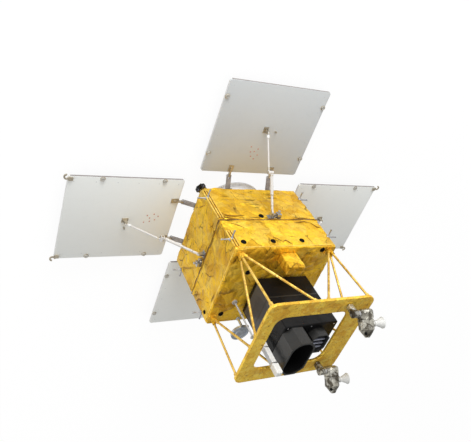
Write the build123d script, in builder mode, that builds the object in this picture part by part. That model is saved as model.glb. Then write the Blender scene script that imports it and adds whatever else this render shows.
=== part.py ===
from build123d import *
import os
from dataclasses import dataclass
from math import cos, radians, sin

os.makedirs("parts", exist_ok=True)

# All sizes are millimetres. +X is east, +Y is north and +Z points to the payload.

# Bus box, standing on its launch ring
BUS_X = 1000.0
BUS_Y = 860.0
BUS_BASE = 200.0
BUS_TOP = 1010.0
DECK = 28.0
WALL = 24.0
MID_DECK_Z = 636.0
MID_DECK = 20.0
SEAM = 6.0

# Heavy equipment on the rear deck, one plain block
STACK_X = 560.0
STACK_Y = 480.0
STACK_Z = 330.0

# Launch ring
RING_R = 340.0
RING_WALL = 9.0
RING_LIP = 27.0
RING_FLANGE_R = RING_R + RING_LIP
RING_FLANGE = 14.0
RING_BOLTS = 24
RING_BOLT_OUT = 14.0
RING_BOLT_R = RING_R + RING_BOLT_OUT
RING_HOLE_R = 4.5

# Solar panels, lying open around the foot of the bus
PANEL_LONG = 1014.0
PANEL_SHORT = 883.0
PANEL = 20.0
PANEL_Z = 107.0
PANEL_OUT = 120.0
PANEL_CORNER = 16.0

# Cells on the underside of a panel
CELL_SHEET = 1.0
CELL_RISE = 1.5
CELL_BORDER = 14.0
CELL_GAP = 5.0
CELL_PITCH = 96.0

# Panel hinges
HINGE_OUT = 88.0
HINGE_Z = 121.0
HINGE_SPREAD = 215.0
HINGE_PIN_R = 5.0
KNUCKLE_R = 12.0
FORK = 38.0
TONGUE = 15.0
PIN_CLEAR = 0.3
FACE_CLEAR = 0.5
ARM_ROOT_OUT = -28.0
ARM_ROOT_DROP = 18.0
ARM_PLATE = 8.0
ARM_PLATE_LONG = 52.0
ARM_PLATE_WIDE = 64.0
FORK_SLOT_R = 30.0
TONGUE_IN = 8.0
TONGUE_LONG = 44.0
TONGUE_TALL = 16.0
TONGUE_PLATE_IN = 4.0
TONGUE_PLATE_LONG = 72.0
TONGUE_PLATE_WIDE = 46.0
FITTING_PLATE = 6.0

# Where a folded panel lies: its face stands this far off the wall
FOLD_GAP = HINGE_OUT + HINGE_Z - PANEL_Z

# Folding strut between wall and panel, straight when the panel is open
STRUT_OUT = 578.0
STRUT_PANEL_PIN = 50.0
STRUT_WALL_PIN = FOLD_GAP - STRUT_PANEL_PIN
STRUT_WALL_Z = HINGE_Z + STRUT_OUT - HINGE_OUT
LOWER_ALONG = -18.0
LOWER_R = 11.0
LOWER_EYE = 10.0
SLEEVE_R = 14.0
SLEEVE_FROM = 0.45
SLEEVE_TO = 0.93
UPPER_ALONG = 9.5
UPPER_R = 7.5
UPPER_EYE = 8.0
EYE_R = 12.0
EAR = 4.5
EYE_NECK = 30.0
EYE_LAP = 4.0
NECK_EASE = 1.0
STRUT_PIN_R = 4.0
BRACKET_LONG = 40.0
BRACKET_PLATE_LONG = 60.0
BRACKET_PLATE_WIDE = 46.0
FOOT_PLATE = 6.0
FOOT_WIDE = 60.0
FOOT_TALL = 46.0
FOOT_EAR_OUT = 8.0
FOOT_EAR_TALL = 42.0
ELBOW_R = 17.0
LAP_CLEAR = 0.4

# Hold-down posts on the bus edges and the cups that meet them when folded
CUP_IN = 186.0
CUP_OUT = 732.0
CUP_INSET = 19.0
CUP_R = 17.0
CUP_DISH_R = 11.0
CUP_DISH = 3.0
CUP_H = 12.0
POST_R = 9.0
POST_GAP = 6.0
POST_SINK = 1.0
EDGE_PLATE = 4.0
EDGE_LEG = 48.0
EDGE_TALL = 62.0

# Release block on the wall and its peg on the panel
BLOCK_ALONG = 95.0
BLOCK_DROP = 8.0
BLOCK_OUT = 42.0
BLOCK_WIDE = 40.0
BLOCK_CAP = 20.0
BLOCK_CAP_R = 12.0
PEG_R = 8.0
PEG_H = 20.0

# Corner hooks on the east and west panels
HOOK_R = 26.0
HOOK_BORE_R = 14.0
HOOK_H = 12.0
HOOK_OUT = 12.0
HOOK_INSET = 4.0
HOOK_CUT = 40.0
HOOK_BASE_IN = 4.0
HOOK_BASE_LONG = 36.0
HOOK_BASE_INSET = 9.0
HOOK_BASE_WIDE = 30.0

# Sun sensors on a plate under the north-west corner
SUN_PLATE = 64.0
SUN_PLATE_R = 14.0
SUN_PLATE_TALL = 10.0
SUN_BAR = 44.0
SUN_R = 20.0
SUN_TALL = 24.0
SUN_OUT = 29.0
SUN_WEST_IN = 14.0
SUN_NORTH_IN = 8.0

# Truss from the payload deck to the front frame
NODE_X = 452.0
NODE_Y = 382.0
NODE_SINK = 18.0
NODE_REACH = 78.0
NODE_FLANGE = 92.0
NODE_PLATE = 9.0
NODE_CORNER_R = 16.0
SOCKET_R = 15.5
TUBE_R = 10.5
CAP_REACH = 40.0
CAP_R = 21.0
CAP_PLATE = 8.0
FRAME_X = 999.0
FRAME_Y = 893.0
FRAME_WEST_BAR = 115.0
FRAME_EAST_BAR = 201.0
FRAME_CROSS_BAR = 146.0
FRAME_Z = 1612.0
FRAME = 26.0
FRAME_OUTER_R = 70.0
FRAME_INNER_R = 85.0
AIM_X = 462.0
AIM_Y = 408.0
AIM_MID = 48.0

# Camera behind and through the front frame
CAM_WEST = -190.0
CAM_EAST = 326.0
CAM_SOUTH = -288.0
CAM_NORTH = 98.0
CAM_FOOT = 18.0
CAM_FOOT_R = 17.0
CAM_FOOT_INSET = 45.0
CAM_SPLIT_Z = 1395.0
CAM_FRONT_Z = 1570.0
CAM_CHAMFER = 8.0
COVER_LIP = 5.0
COVER_EDGE = 7.0
HOOD_X = -80.0
HOOD_Y = -98.0
HOOD_WIDE = 222.0
HOOD_TALL = 378.0
HOOD_CORNER = 62.0
HOOD_WALL = 13.0
HOOD_LIP_R = 92.0
HOOD_DEEP = 170.0
FINDER_X = 155.0
FINDER_Y = -58.0
FINDER_WIDE = 172.0
FINDER_TALL = 216.0
FINDER_CORNER = 44.0
FINDER_WALL = 13.0
FINDER_LIP_R = 46.0
FINDER_DEEP = 80.0
VANES = 4
VANE = 5.0
VANE_TALL = 46.0
VANE_PITCH = 46.0
VANE_SEAT = 3.0

# Small units on the payload deck
BOX_X = 20.0
BOX_Y = 325.0
BOX_WIDE = 160.0
BOX_DEEP = 92.0
BOX_TALL = 176.0
BOX_CORNER_R = 8.0
MAST_X = -255.0
MAST_Y = -175.0
MAST_ROD_WEST = 45.0
MAST_ROD_SOUTH = 11.0
MAST_R = 8.0
MAST_JOINT = 12.0
MAST_FOOT_R = 24.0
MAST_FOOT = 9.0
MAST_TUBE = 46.0
MAST_TUBE_R = 5.0
MAST_TUBE_Z = 1400.0
MAST_HEAD_Z = 1706.0
MAST_HEAD = 56.0
MAST_HEAD_TALL = 88.0
MAST_HEAD_R = 8.0
MAST_HEAD_EDGE = 6.0
PATCH_X = -190.0
PATCH_POST_Y = -406.0
PATCH_Y = -476.0
PATCH_R = 86.0
PATCH_Z = 1105.0
PATCH = 20.0
PATCH_FOOT_R = 20.0
PATCH_FOOT = 8.0
PATCH_POST_R = 12.0

# Steered horns on the front frame
PIVOT_RISE = 88.0
BARREL_R = 32.0
BARREL_FAR = 128.0
BARREL_NEAR = 76.0
PEDESTAL_FAR = 100.0
PEDESTAL_WIDE = 48.0
PEDESTAL_DEEP = 50.0
PEDESTAL_R = 10.0
HUB_R = 28.0
ARM_R = 66.0
ARM_TAIL = 34.0
ARM_TAIL_R = 24.0
ARM_LENGTH = 46.0
ARM_LEAN = 42.0
HEAD_R = 64.0
HEAD_LENGTH = 82.0
HEAD_TIP_R = 22.0
HEAD_TIP = 62.0
HORN_ALONG = 40.0
HORN_NECK_R = 19.0
HORN_MOUTH_R = 46.0
HORN_NECK = 82.0
HORN_REACH = 146.0
HORN_RIM = 10.0
HORN_RIM_LIP = 3.0
HORN_RIM_WALL = 5.0
HORN_DISH = 4.0
TURN_CLEAR = 0.4

# Each horn: its name, its place along X and Y and the turn of its mouth from east
HORNS = (
    ("north", 353.0, 368.0, 14.0),
    ("south", 380.0, -340.0, 14.0),
)


@dataclass(frozen=True)
class Side:
    """One side of the bus and the panel that hangs on it."""

    name: str
    outward: tuple
    wall: float
    wall_length: float
    reach: float
    width: float
    hooked: bool
    block_side: int

    @property
    def plane(self):
        origin = tuple(self.wall * part for part in self.outward)
        return Plane(origin=origin, x_dir=self.outward, z_dir=(0, 0, 1))

    def upright(self, along):
        return Plane(origin=self.point(0, along, 0), x_dir=self.outward, z_dir=-self.plane.y_dir)

    def point(self, out, along, height):
        return self.plane.from_local_coords(Vector(out, along, height))


SIDES = (
    Side("east", (1, 0, 0), BUS_X / 2, BUS_Y - 2 * WALL, PANEL_LONG, PANEL_SHORT, True, -1),
    Side("north", (0, 1, 0), BUS_Y / 2, BUS_X, PANEL_SHORT, PANEL_LONG, False, -1),
    Side("west", (-1, 0, 0), BUS_X / 2, BUS_Y - 2 * WALL, PANEL_LONG, PANEL_SHORT, True, 1),
    Side("south", (0, -1, 0), BUS_Y / 2, BUS_X, PANEL_SHORT, PANEL_LONG, False, 1),
)

MODULES = (
    ("rear", BUS_BASE + DECK, MID_DECK_Z),
    ("front", MID_DECK_Z + MID_DECK, BUS_TOP - DECK),
)

CORNERS = ((1, 1), (-1, 1), (-1, -1), (1, -1))


def save(builder, name):
    builder.part.label = name
    export_step(builder.part, f"parts/{name}.step")


def rod(start, end, radius):
    axis = end - start
    with Locations(Plane(origin=start, z_dir=axis)):
        Cylinder(radius, axis.length, align=(Align.CENTER, Align.CENTER, Align.MIN))


def disc(side, out, height, radius, along_from, along_to, mode=Mode.ADD):
    with BuildSketch(side.upright(along_to)) as outline:
        with Locations((out, height)):
            Circle(radius)
    extrude(outline.sketch, amount=along_to - along_from, mode=mode)


# Bus decks
with BuildPart() as rear_deck:
    with BuildSketch(Plane.XY.offset(BUS_BASE)):
        Rectangle(BUS_X, BUS_Y)
    extrude(amount=DECK)
save(rear_deck, "rear_deck")

with BuildPart() as mid_deck:
    with BuildSketch(Plane.XY.offset(MID_DECK_Z)):
        Rectangle(BUS_X - 2 * SEAM, BUS_Y - 2 * SEAM)
    extrude(amount=MID_DECK)
save(mid_deck, "mid_deck")

with BuildPart() as payload_deck:
    with BuildSketch(Plane.XY.offset(BUS_TOP - DECK)):
        Rectangle(BUS_X, BUS_Y)
    extrude(amount=DECK)
save(payload_deck, "payload_deck")

# Bus walls, four to each module
for module, low, high in MODULES:
    for side in SIDES:
        with BuildPart() as wall:
            with BuildSketch(side.plane.offset(low)):
                with Locations((-WALL / 2, 0)):
                    Rectangle(WALL, side.wall_length)
            extrude(amount=high - low)
        save(wall, f"{module}_wall_{side.name}")

# Equipment block
with BuildPart() as equipment_stack:
    with BuildSketch(Plane.XY.offset(BUS_BASE + DECK)):
        Rectangle(STACK_X, STACK_Y)
    extrude(amount=STACK_Z)
save(equipment_stack, "equipment_stack")

# Launch ring with a bolted lower flange
with BuildPart() as launch_ring:
    with BuildSketch(Plane.XZ):
        with BuildLine():
            Polyline(
                (RING_R - RING_WALL, 0),
                (RING_FLANGE_R, 0),
                (RING_FLANGE_R, RING_FLANGE),
                (RING_R, RING_FLANGE),
                (RING_R, BUS_BASE - RING_FLANGE),
                (RING_FLANGE_R, BUS_BASE - RING_FLANGE),
                (RING_FLANGE_R, BUS_BASE),
                (RING_R - RING_WALL, BUS_BASE),
                close=True,
            )
        make_face()
    revolve(axis=Axis.Z)
    with PolarLocations(RING_BOLT_R, RING_BOLTS):
        Cylinder(
            RING_HOLE_R,
            RING_FLANGE,
            align=(Align.CENTER, Align.CENTER, Align.MIN),
            mode=Mode.SUBTRACT,
        )
save(launch_ring, "launch_ring")

# Hinge forks under the rear deck, two to each side
with BuildPart() as hinge_forks:
    for side in SIDES:
        for along in (-HINGE_SPREAD, HINGE_SPREAD):
            with BuildSketch(side.upright(along)):
                with Locations((ARM_ROOT_OUT, BUS_BASE - ARM_ROOT_DROP)):
                    Circle(KNUCKLE_R)
                with Locations((HINGE_OUT, HINGE_Z)):
                    Circle(KNUCKLE_R)
                make_hull()
            extrude(amount=FORK / 2, both=True)
            with BuildSketch(side.plane.offset(BUS_BASE - ARM_PLATE)):
                with Locations((ARM_ROOT_OUT, along)):
                    Rectangle(ARM_PLATE_LONG, ARM_PLATE_WIDE)
            extrude(amount=ARM_PLATE)
            half_slot = TONGUE / 2 + FACE_CLEAR
            slot_ends = (along - half_slot, along + half_slot)
            disc(side, HINGE_OUT, HINGE_Z, FORK_SLOT_R, *slot_ends, Mode.SUBTRACT)
            disc(side, HINGE_OUT, HINGE_Z, HINGE_PIN_R, along - FORK / 2, along + FORK / 2)
save(hinge_forks, "hinge_forks")

# Solar panels with their cells and fittings
for side in SIDES:
    middle = PANEL_OUT + side.reach / 2
    edge = PANEL_OUT + side.reach
    with BuildPart() as panel:
        with BuildSketch(side.plane.offset(PANEL_Z - PANEL)) as outline:
            with Locations((middle, 0)):
                Rectangle(side.reach, side.width)
            chamfer(outline.vertices(), PANEL_CORNER)
        extrude(amount=PANEL)
    save(panel, f"panel_{side.name}")

    long_run = side.reach - 2 * CELL_BORDER
    wide_run = side.width - 2 * CELL_BORDER
    rows = round(long_run / CELL_PITCH)
    columns = round(wide_run / CELL_PITCH)
    row_pitch = long_run / rows
    column_pitch = wide_run / columns
    sheet_z = PANEL_Z - PANEL
    with BuildPart() as cells:
        with BuildSketch(side.plane.offset(sheet_z - CELL_SHEET)):
            with Locations((middle, 0)):
                Rectangle(long_run, wide_run)
        extrude(amount=CELL_SHEET)
        with BuildSketch(side.plane.offset(sheet_z - CELL_SHEET - CELL_RISE)):
            with Locations((middle, 0)):
                with GridLocations(row_pitch, column_pitch, rows, columns):
                    Rectangle(row_pitch - CELL_GAP, column_pitch - CELL_GAP)
        extrude(amount=CELL_RISE)
    save(cells, f"cells_{side.name}")

    with BuildPart() as fittings:
        for along in (-HINGE_SPREAD, HINGE_SPREAD):
            with BuildSketch(side.upright(along)):
                with Locations((HINGE_OUT, HINGE_Z)):
                    Circle(KNUCKLE_R)
                with Locations((PANEL_OUT + TONGUE_IN + TONGUE_LONG / 2, PANEL_Z + TONGUE_TALL / 2)):
                    Rectangle(TONGUE_LONG, TONGUE_TALL)
                make_hull()
                with Locations((HINGE_OUT, HINGE_Z)):
                    Circle(HINGE_PIN_R + PIN_CLEAR, mode=Mode.SUBTRACT)
            extrude(amount=TONGUE / 2, both=True)
            with BuildSketch(side.plane.offset(PANEL_Z)):
                with Locations((PANEL_OUT + TONGUE_PLATE_IN + TONGUE_PLATE_LONG / 2, along)):
                    Rectangle(TONGUE_PLATE_LONG, TONGUE_PLATE_WIDE)
            extrude(amount=FITTING_PLATE)
        for ear_sign in (-1, 1):
            ear_near = UPPER_ALONG + ear_sign * (UPPER_EYE / 2 + FACE_CLEAR + EAR / 2)
            with BuildSketch(side.upright(ear_near)):
                with Locations((STRUT_OUT, PANEL_Z + STRUT_PANEL_PIN)):
                    Circle(EYE_R)
                with Locations((STRUT_OUT, PANEL_Z + FITTING_PLATE / 2)):
                    Rectangle(BRACKET_LONG, FITTING_PLATE)
                make_hull()
            extrude(amount=EAR / 2, both=True)
        half_pin = UPPER_EYE / 2 + FACE_CLEAR + EAR
        pin_ends = (UPPER_ALONG - half_pin, UPPER_ALONG + half_pin)
        disc(side, STRUT_OUT, PANEL_Z + STRUT_PANEL_PIN, STRUT_PIN_R, *pin_ends)
        with BuildSketch(side.plane.offset(PANEL_Z)):
            with Locations((STRUT_OUT, UPPER_ALONG)):
                Rectangle(BRACKET_PLATE_LONG, BRACKET_PLATE_WIDE)
        extrude(amount=FITTING_PLATE)
        with BuildSketch(side.plane.offset(PANEL_Z)):
            for cup_out in (CUP_IN, CUP_OUT):
                for cup_along in (-1, 1):
                    with Locations((PANEL_OUT + cup_out, cup_along * (side.width / 2 - CUP_INSET))):
                        Circle(CUP_R)
        extrude(amount=CUP_H)
        with BuildSketch(side.plane.offset(PANEL_Z + CUP_H - CUP_DISH)):
            for cup_out in (CUP_IN, CUP_OUT):
                for cup_along in (-1, 1):
                    with Locations((PANEL_OUT + cup_out, cup_along * (side.width / 2 - CUP_INSET))):
                        Circle(CUP_DISH_R)
        extrude(amount=CUP_DISH, mode=Mode.SUBTRACT)
        with BuildSketch(side.plane.offset(PANEL_Z)):
            with Locations((STRUT_OUT - BLOCK_DROP, side.block_side * BLOCK_ALONG)):
                Circle(PEG_R)
        extrude(amount=PEG_H)
        if side.hooked:
            for sign in (-1, 1):
                with BuildSketch(side.plane.offset(PANEL_Z)):
                    with Locations((edge + HOOK_OUT, sign * (side.width / 2 - HOOK_INSET))):
                        Circle(HOOK_R)
                        Circle(HOOK_BORE_R, mode=Mode.SUBTRACT)
                    cut_out = edge + HOOK_OUT - HOOK_CUT / 2
                    cut_along = side.width / 2 - HOOK_INSET + HOOK_CUT / 2
                    with Locations((cut_out, sign * cut_along)):
                        Rectangle(HOOK_CUT, HOOK_CUT, mode=Mode.SUBTRACT)
                    base_out = edge - HOOK_BASE_IN - HOOK_BASE_LONG / 2
                    base_along = side.width / 2 - HOOK_BASE_INSET - HOOK_BASE_WIDE / 2
                    with Locations((base_out, sign * base_along)):
                        Rectangle(HOOK_BASE_LONG, HOOK_BASE_WIDE)
                extrude(amount=HOOK_H)
    save(fittings, f"panel_{side.name}_fittings")

# Folding struts, a lower and an upper link on each side
for side in SIDES:
    wall_pin = Vector(STRUT_WALL_PIN, STRUT_WALL_Z)
    panel_pin = Vector(STRUT_OUT, PANEL_Z + STRUT_PANEL_PIN)
    run = panel_pin - wall_pin
    link = run.length / 2
    along_link = run / run.length
    elbow = wall_pin + along_link * link

    with BuildPart() as lower_link:
        neck = wall_pin + along_link * EYE_NECK
        with BuildSketch(side.upright(LOWER_ALONG)):
            with Locations((wall_pin.X, wall_pin.Y)):
                Circle(EYE_R)
            with Locations((neck.X, neck.Y)):
                Circle(LOWER_R - NECK_EASE)
            make_hull()
            with Locations((wall_pin.X, wall_pin.Y)):
                Circle(HINGE_PIN_R + PIN_CLEAR, mode=Mode.SUBTRACT)
        extrude(amount=LOWER_EYE / 2, both=True)
        tube_from = wall_pin + along_link * (EYE_NECK - EYE_LAP)
        sleeve_from = wall_pin + along_link * (link * SLEEVE_FROM)
        sleeve_to = wall_pin + along_link * (link * SLEEVE_TO)
        rod(
            side.point(tube_from.X, LOWER_ALONG, tube_from.Y),
            side.point(elbow.X, LOWER_ALONG, elbow.Y),
            LOWER_R,
        )
        rod(
            side.point(sleeve_from.X, LOWER_ALONG, sleeve_from.Y),
            side.point(sleeve_to.X, LOWER_ALONG, sleeve_to.Y),
            SLEEVE_R,
        )
        disc(side, elbow.X, elbow.Y, ELBOW_R, LOWER_ALONG - SLEEVE_R, -LAP_CLEAR)
    save(lower_link, f"strut_{side.name}_lower")

    with BuildPart() as upper_link:
        neck = panel_pin - along_link * EYE_NECK
        with BuildSketch(side.upright(UPPER_ALONG)):
            with Locations((panel_pin.X, panel_pin.Y)):
                Circle(EYE_R)
            with Locations((neck.X, neck.Y)):
                Circle(UPPER_R - NECK_EASE)
            make_hull()
            with Locations((panel_pin.X, panel_pin.Y)):
                Circle(STRUT_PIN_R + PIN_CLEAR, mode=Mode.SUBTRACT)
        extrude(amount=UPPER_EYE / 2, both=True)
        tube_from = panel_pin - along_link * (EYE_NECK - EYE_LAP)
        rod(
            side.point(tube_from.X, UPPER_ALONG, tube_from.Y),
            side.point(elbow.X, UPPER_ALONG, elbow.Y),
            UPPER_R,
        )
        disc(side, elbow.X, elbow.Y, ELBOW_R, LAP_CLEAR, UPPER_ALONG + UPPER_R)
    save(upper_link, f"strut_{side.name}_upper")

# Strut feet and release blocks on the walls
with BuildPart() as wall_feet:
    for side in SIDES:
        for ear_sign in (-1, 1):
            ear_at = LOWER_ALONG + ear_sign * (LOWER_EYE / 2 + FACE_CLEAR + EAR / 2)
            with BuildSketch(side.upright(ear_at)):
                with Locations((STRUT_WALL_PIN, STRUT_WALL_Z)):
                    Circle(EYE_R)
                with Locations((FOOT_EAR_OUT / 2, STRUT_WALL_Z)):
                    Rectangle(FOOT_EAR_OUT, FOOT_EAR_TALL)
                make_hull()
            extrude(amount=EAR / 2, both=True)
        half_pin = LOWER_EYE / 2 + FACE_CLEAR + EAR
        pin_ends = (LOWER_ALONG - half_pin, LOWER_ALONG + half_pin)
        disc(side, STRUT_WALL_PIN, STRUT_WALL_Z, HINGE_PIN_R, *pin_ends)
        block_along = side.block_side * BLOCK_ALONG
        with BuildSketch(side.plane.offset(STRUT_WALL_Z - FOOT_TALL / 2)):
            with Locations((FOOT_PLATE / 2, LOWER_ALONG)):
                Rectangle(FOOT_PLATE, FOOT_WIDE)
            with Locations((BLOCK_OUT / 2, block_along)):
                Rectangle(BLOCK_OUT, BLOCK_WIDE)
        extrude(amount=FOOT_TALL)
        rod(
            side.point(BLOCK_OUT, block_along, STRUT_WALL_Z - BLOCK_DROP),
            side.point(BLOCK_OUT + BLOCK_CAP, block_along, STRUT_WALL_Z - BLOCK_DROP),
            BLOCK_CAP_R,
        )
save(wall_feet, "wall_feet")

# Hold-down posts on the four upright edges of the bus
with BuildPart() as hold_downs:
    for cup_out in (CUP_IN, CUP_OUT):
        height = HINGE_Z + PANEL_OUT + cup_out - HINGE_OUT
        with BuildSketch(Plane.XY.offset(height - EDGE_TALL / 2)):
            for east, north in CORNERS:
                flat_x = east * (BUS_X + EDGE_PLATE) / 2
                flat_y = north * (BUS_Y + EDGE_PLATE) / 2
                with Locations((flat_x, north * (BUS_Y - EDGE_LEG) / 2)):
                    Rectangle(EDGE_PLATE, EDGE_LEG)
                with Locations((east * (BUS_X + EDGE_PLATE * 2 - EDGE_LEG) / 2, flat_y)):
                    Rectangle(EDGE_LEG, EDGE_PLATE)
        extrude(amount=EDGE_TALL)
        tip = FOLD_GAP - CUP_H - POST_GAP
        for side in SIDES:
            for sign in (-1, 1):
                along = sign * (side.width / 2 - CUP_INSET)
                post_root = side.point(EDGE_PLATE - POST_SINK, along, height)
                rod(post_root, side.point(tip, along, height), POST_R)
save(hold_downs, "hold_downs")

# Sun sensors on a corner plate under the rear deck
sun_west = (-BUS_X / 2 - SUN_OUT, BUS_Y / 2 - SUN_WEST_IN)
sun_north = (-BUS_X / 2 + SUN_NORTH_IN, BUS_Y / 2 + SUN_OUT)
with BuildPart() as sun_sensors:
    with BuildSketch(Plane.XY.offset(BUS_BASE - SUN_PLATE_TALL)):
        with Locations((-BUS_X / 2 + SUN_PLATE / 2, BUS_Y / 2 - SUN_PLATE / 2)):
            RectangleRounded(SUN_PLATE, SUN_PLATE, SUN_PLATE_R)
        with BuildLine():
            Line(sun_west, sun_north)
        trace(line_width=SUN_BAR)
    extrude(amount=SUN_PLATE_TALL)
    with BuildSketch(Plane.XY.offset(BUS_BASE)):
        with Locations(sun_west, sun_north):
            Circle(SUN_R)
    extrude(amount=SUN_TALL)
save(sun_sensors, "sun_sensors")

# Front frame of the truss
with BuildPart() as front_frame:
    with BuildSketch(Plane.XY.offset(FRAME_Z)):
        RectangleRounded(FRAME_X, FRAME_Y, FRAME_OUTER_R)
        with Locations(((FRAME_WEST_BAR - FRAME_EAST_BAR) / 2, 0)):
            RectangleRounded(
                FRAME_X - FRAME_WEST_BAR - FRAME_EAST_BAR,
                FRAME_Y - 2 * FRAME_CROSS_BAR,
                FRAME_INNER_R,
                mode=Mode.SUBTRACT,
            )
    extrude(amount=FRAME)
save(front_frame, "front_frame")

# Truss tubes with their sockets on the deck and on the frame
tube_rows = []
for east, north in CORNERS:
    foot = Vector(east * NODE_X, north * NODE_Y, BUS_TOP - NODE_SINK)
    for aim_x, aim_y in ((AIM_X, AIM_Y), (AIM_MID, AIM_Y), (AIM_X, AIM_MID)):
        head = Vector(east * aim_x, north * aim_y, FRAME_Z)
        tube_rows.append((foot, head, (head - foot).normalized()))

with BuildPart() as truss_nodes:
    with BuildSketch(Plane.XY.offset(BUS_TOP)):
        with Locations([(east * NODE_X, north * NODE_Y) for east, north in CORNERS]):
            RectangleRounded(NODE_FLANGE, NODE_FLANGE, NODE_CORNER_R)
    extrude(amount=NODE_PLATE)
    for foot, head, aim in tube_rows:
        rod(foot, foot + aim * NODE_REACH, SOCKET_R)
    split(bisect_by=Plane.XY.offset(BUS_TOP), keep=Keep.TOP)
save(truss_nodes, "truss_nodes")

with BuildPart() as truss_tubes:
    for foot, head, aim in tube_rows:
        rod(foot + aim * NODE_REACH, head - aim * CAP_REACH, TUBE_R)
save(truss_tubes, "truss_tubes")

with BuildPart() as truss_caps:
    for foot, head, aim in tube_rows:
        rod(head - aim * CAP_REACH, head + aim * CAP_PLATE, SOCKET_R)
        rod(head - Vector(0, 0, CAP_PLATE), head, CAP_R)
    split(bisect_by=Plane.XY.offset(FRAME_Z), keep=Keep.BOTTOM)
save(truss_caps, "truss_caps")

# Camera: feet, housing, front cover and two hoods
cam_middle = ((CAM_WEST + CAM_EAST) / 2, (CAM_SOUTH + CAM_NORTH) / 2)
cam_wide = CAM_EAST - CAM_WEST
cam_tall = CAM_NORTH - CAM_SOUTH

with BuildPart() as camera_feet:
    with BuildSketch(Plane.XY.offset(BUS_TOP)):
        with Locations(cam_middle):
            with GridLocations(cam_wide - 2 * CAM_FOOT_INSET, cam_tall - 2 * CAM_FOOT_INSET, 2, 2):
                Circle(CAM_FOOT_R)
    extrude(amount=CAM_FOOT)
save(camera_feet, "camera_feet")

with BuildPart() as camera_housing:
    with BuildSketch(Plane.XY.offset(BUS_TOP + CAM_FOOT)) as housing_outline:
        with Locations(cam_middle):
            Rectangle(cam_wide, cam_tall)
        chamfer(housing_outline.vertices().group_by(Axis.Y)[-1], CAM_CHAMFER)
    extrude(amount=CAM_SPLIT_Z - BUS_TOP - CAM_FOOT)
save(camera_housing, "camera_housing")

with BuildPart() as camera_cover:
    with BuildSketch(Plane.XY.offset(CAM_SPLIT_Z)) as cover_outline:
        with Locations(cam_middle):
            Rectangle(cam_wide + 2 * COVER_LIP, cam_tall + 2 * COVER_LIP)
        chamfer(cover_outline.vertices().group_by(Axis.Y)[-1], CAM_CHAMFER)
    extrude(amount=CAM_FRONT_Z - CAM_SPLIT_Z)
    chamfer(camera_cover.faces().sort_by(Axis.Z)[-1].edges(), COVER_EDGE)
save(camera_cover, "camera_cover")

with BuildPart() as camera_hood:
    with BuildSketch(Plane.XY.offset(CAM_FRONT_Z)) as hood_outline:
        with Locations((HOOD_X, HOOD_Y)):
            Rectangle(HOOD_WIDE, HOOD_TALL)
        chamfer(hood_outline.vertices(), HOOD_CORNER)
    extrude(amount=HOOD_DEEP)
    with BuildSketch(Plane.XY.offset(CAM_FRONT_Z)):
        with Locations((HOOD_X, HOOD_Y)):
            RectangleRounded(HOOD_WIDE - 2 * HOOD_WALL, HOOD_TALL - 2 * HOOD_WALL, HOOD_LIP_R)
    extrude(amount=HOOD_DEEP, mode=Mode.SUBTRACT)
save(camera_hood, "camera_hood")

with BuildPart() as finder_hood:
    with BuildSketch(Plane.XY.offset(CAM_FRONT_Z)) as finder_outline:
        with Locations((FINDER_X, FINDER_Y)):
            Rectangle(FINDER_WIDE, FINDER_TALL)
        chamfer(finder_outline.vertices(), FINDER_CORNER)
    extrude(amount=FINDER_DEEP)
    with BuildSketch(Plane.XY.offset(CAM_FRONT_Z)):
        with Locations((FINDER_X, FINDER_Y)):
            RectangleRounded(FINDER_WIDE - 2 * FINDER_WALL, FINDER_TALL - 2 * FINDER_WALL, FINDER_LIP_R)
    extrude(amount=FINDER_DEEP, mode=Mode.SUBTRACT)
    with BuildSketch(Plane.XY.offset(CAM_FRONT_Z)):
        with Locations((FINDER_X, FINDER_Y)):
            with GridLocations(0, VANE_PITCH, 1, VANES):
                Rectangle(FINDER_WIDE - 2 * FINDER_WALL + 2 * VANE_SEAT, VANE)
    extrude(amount=VANE_TALL)
save(finder_hood, "finder_hood")

# Electronics box
with BuildPart() as electronics_box:
    with BuildSketch(Plane.XY.offset(BUS_TOP)):
        with Locations((BOX_X, BOX_Y)):
            RectangleRounded(BOX_WIDE, BOX_DEEP, BOX_CORNER_R)
    extrude(amount=BOX_TALL)
save(electronics_box, "electronics_box")

# Mast with its white head
with BuildPart() as mast:
    base = Vector(MAST_X - MAST_ROD_WEST, MAST_Y - MAST_ROD_SOUTH, BUS_TOP)
    rod(base, base + Vector(0, 0, MAST_FOOT), MAST_FOOT_R)
    rod(base, base + Vector(0, 0, MAST_TUBE_Z + MAST_JOINT - BUS_TOP), MAST_R)
    with BuildSketch(Plane.XY.offset(MAST_TUBE_Z)):
        with Locations((MAST_X - MAST_ROD_WEST / 2, MAST_Y)):
            RectangleRounded(MAST_ROD_WEST + MAST_TUBE, MAST_TUBE, MAST_TUBE_R)
    extrude(amount=MAST_JOINT)
    with BuildSketch(Plane.XY.offset(MAST_TUBE_Z)):
        with Locations((MAST_X, MAST_Y)):
            RectangleRounded(MAST_TUBE, MAST_TUBE, MAST_TUBE_R)
    extrude(amount=MAST_HEAD_Z - MAST_TUBE_Z)
save(mast, "mast")

with BuildPart() as mast_head:
    with BuildSketch(Plane.XY.offset(MAST_HEAD_Z)):
        with Locations((MAST_X, MAST_Y)):
            RectangleRounded(MAST_HEAD, MAST_HEAD, MAST_HEAD_R)
    extrude(amount=MAST_HEAD_TALL)
    chamfer(mast_head.faces().sort_by(Axis.Z)[-1].edges(), MAST_HEAD_EDGE)
save(mast_head, "mast_head")

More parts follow.
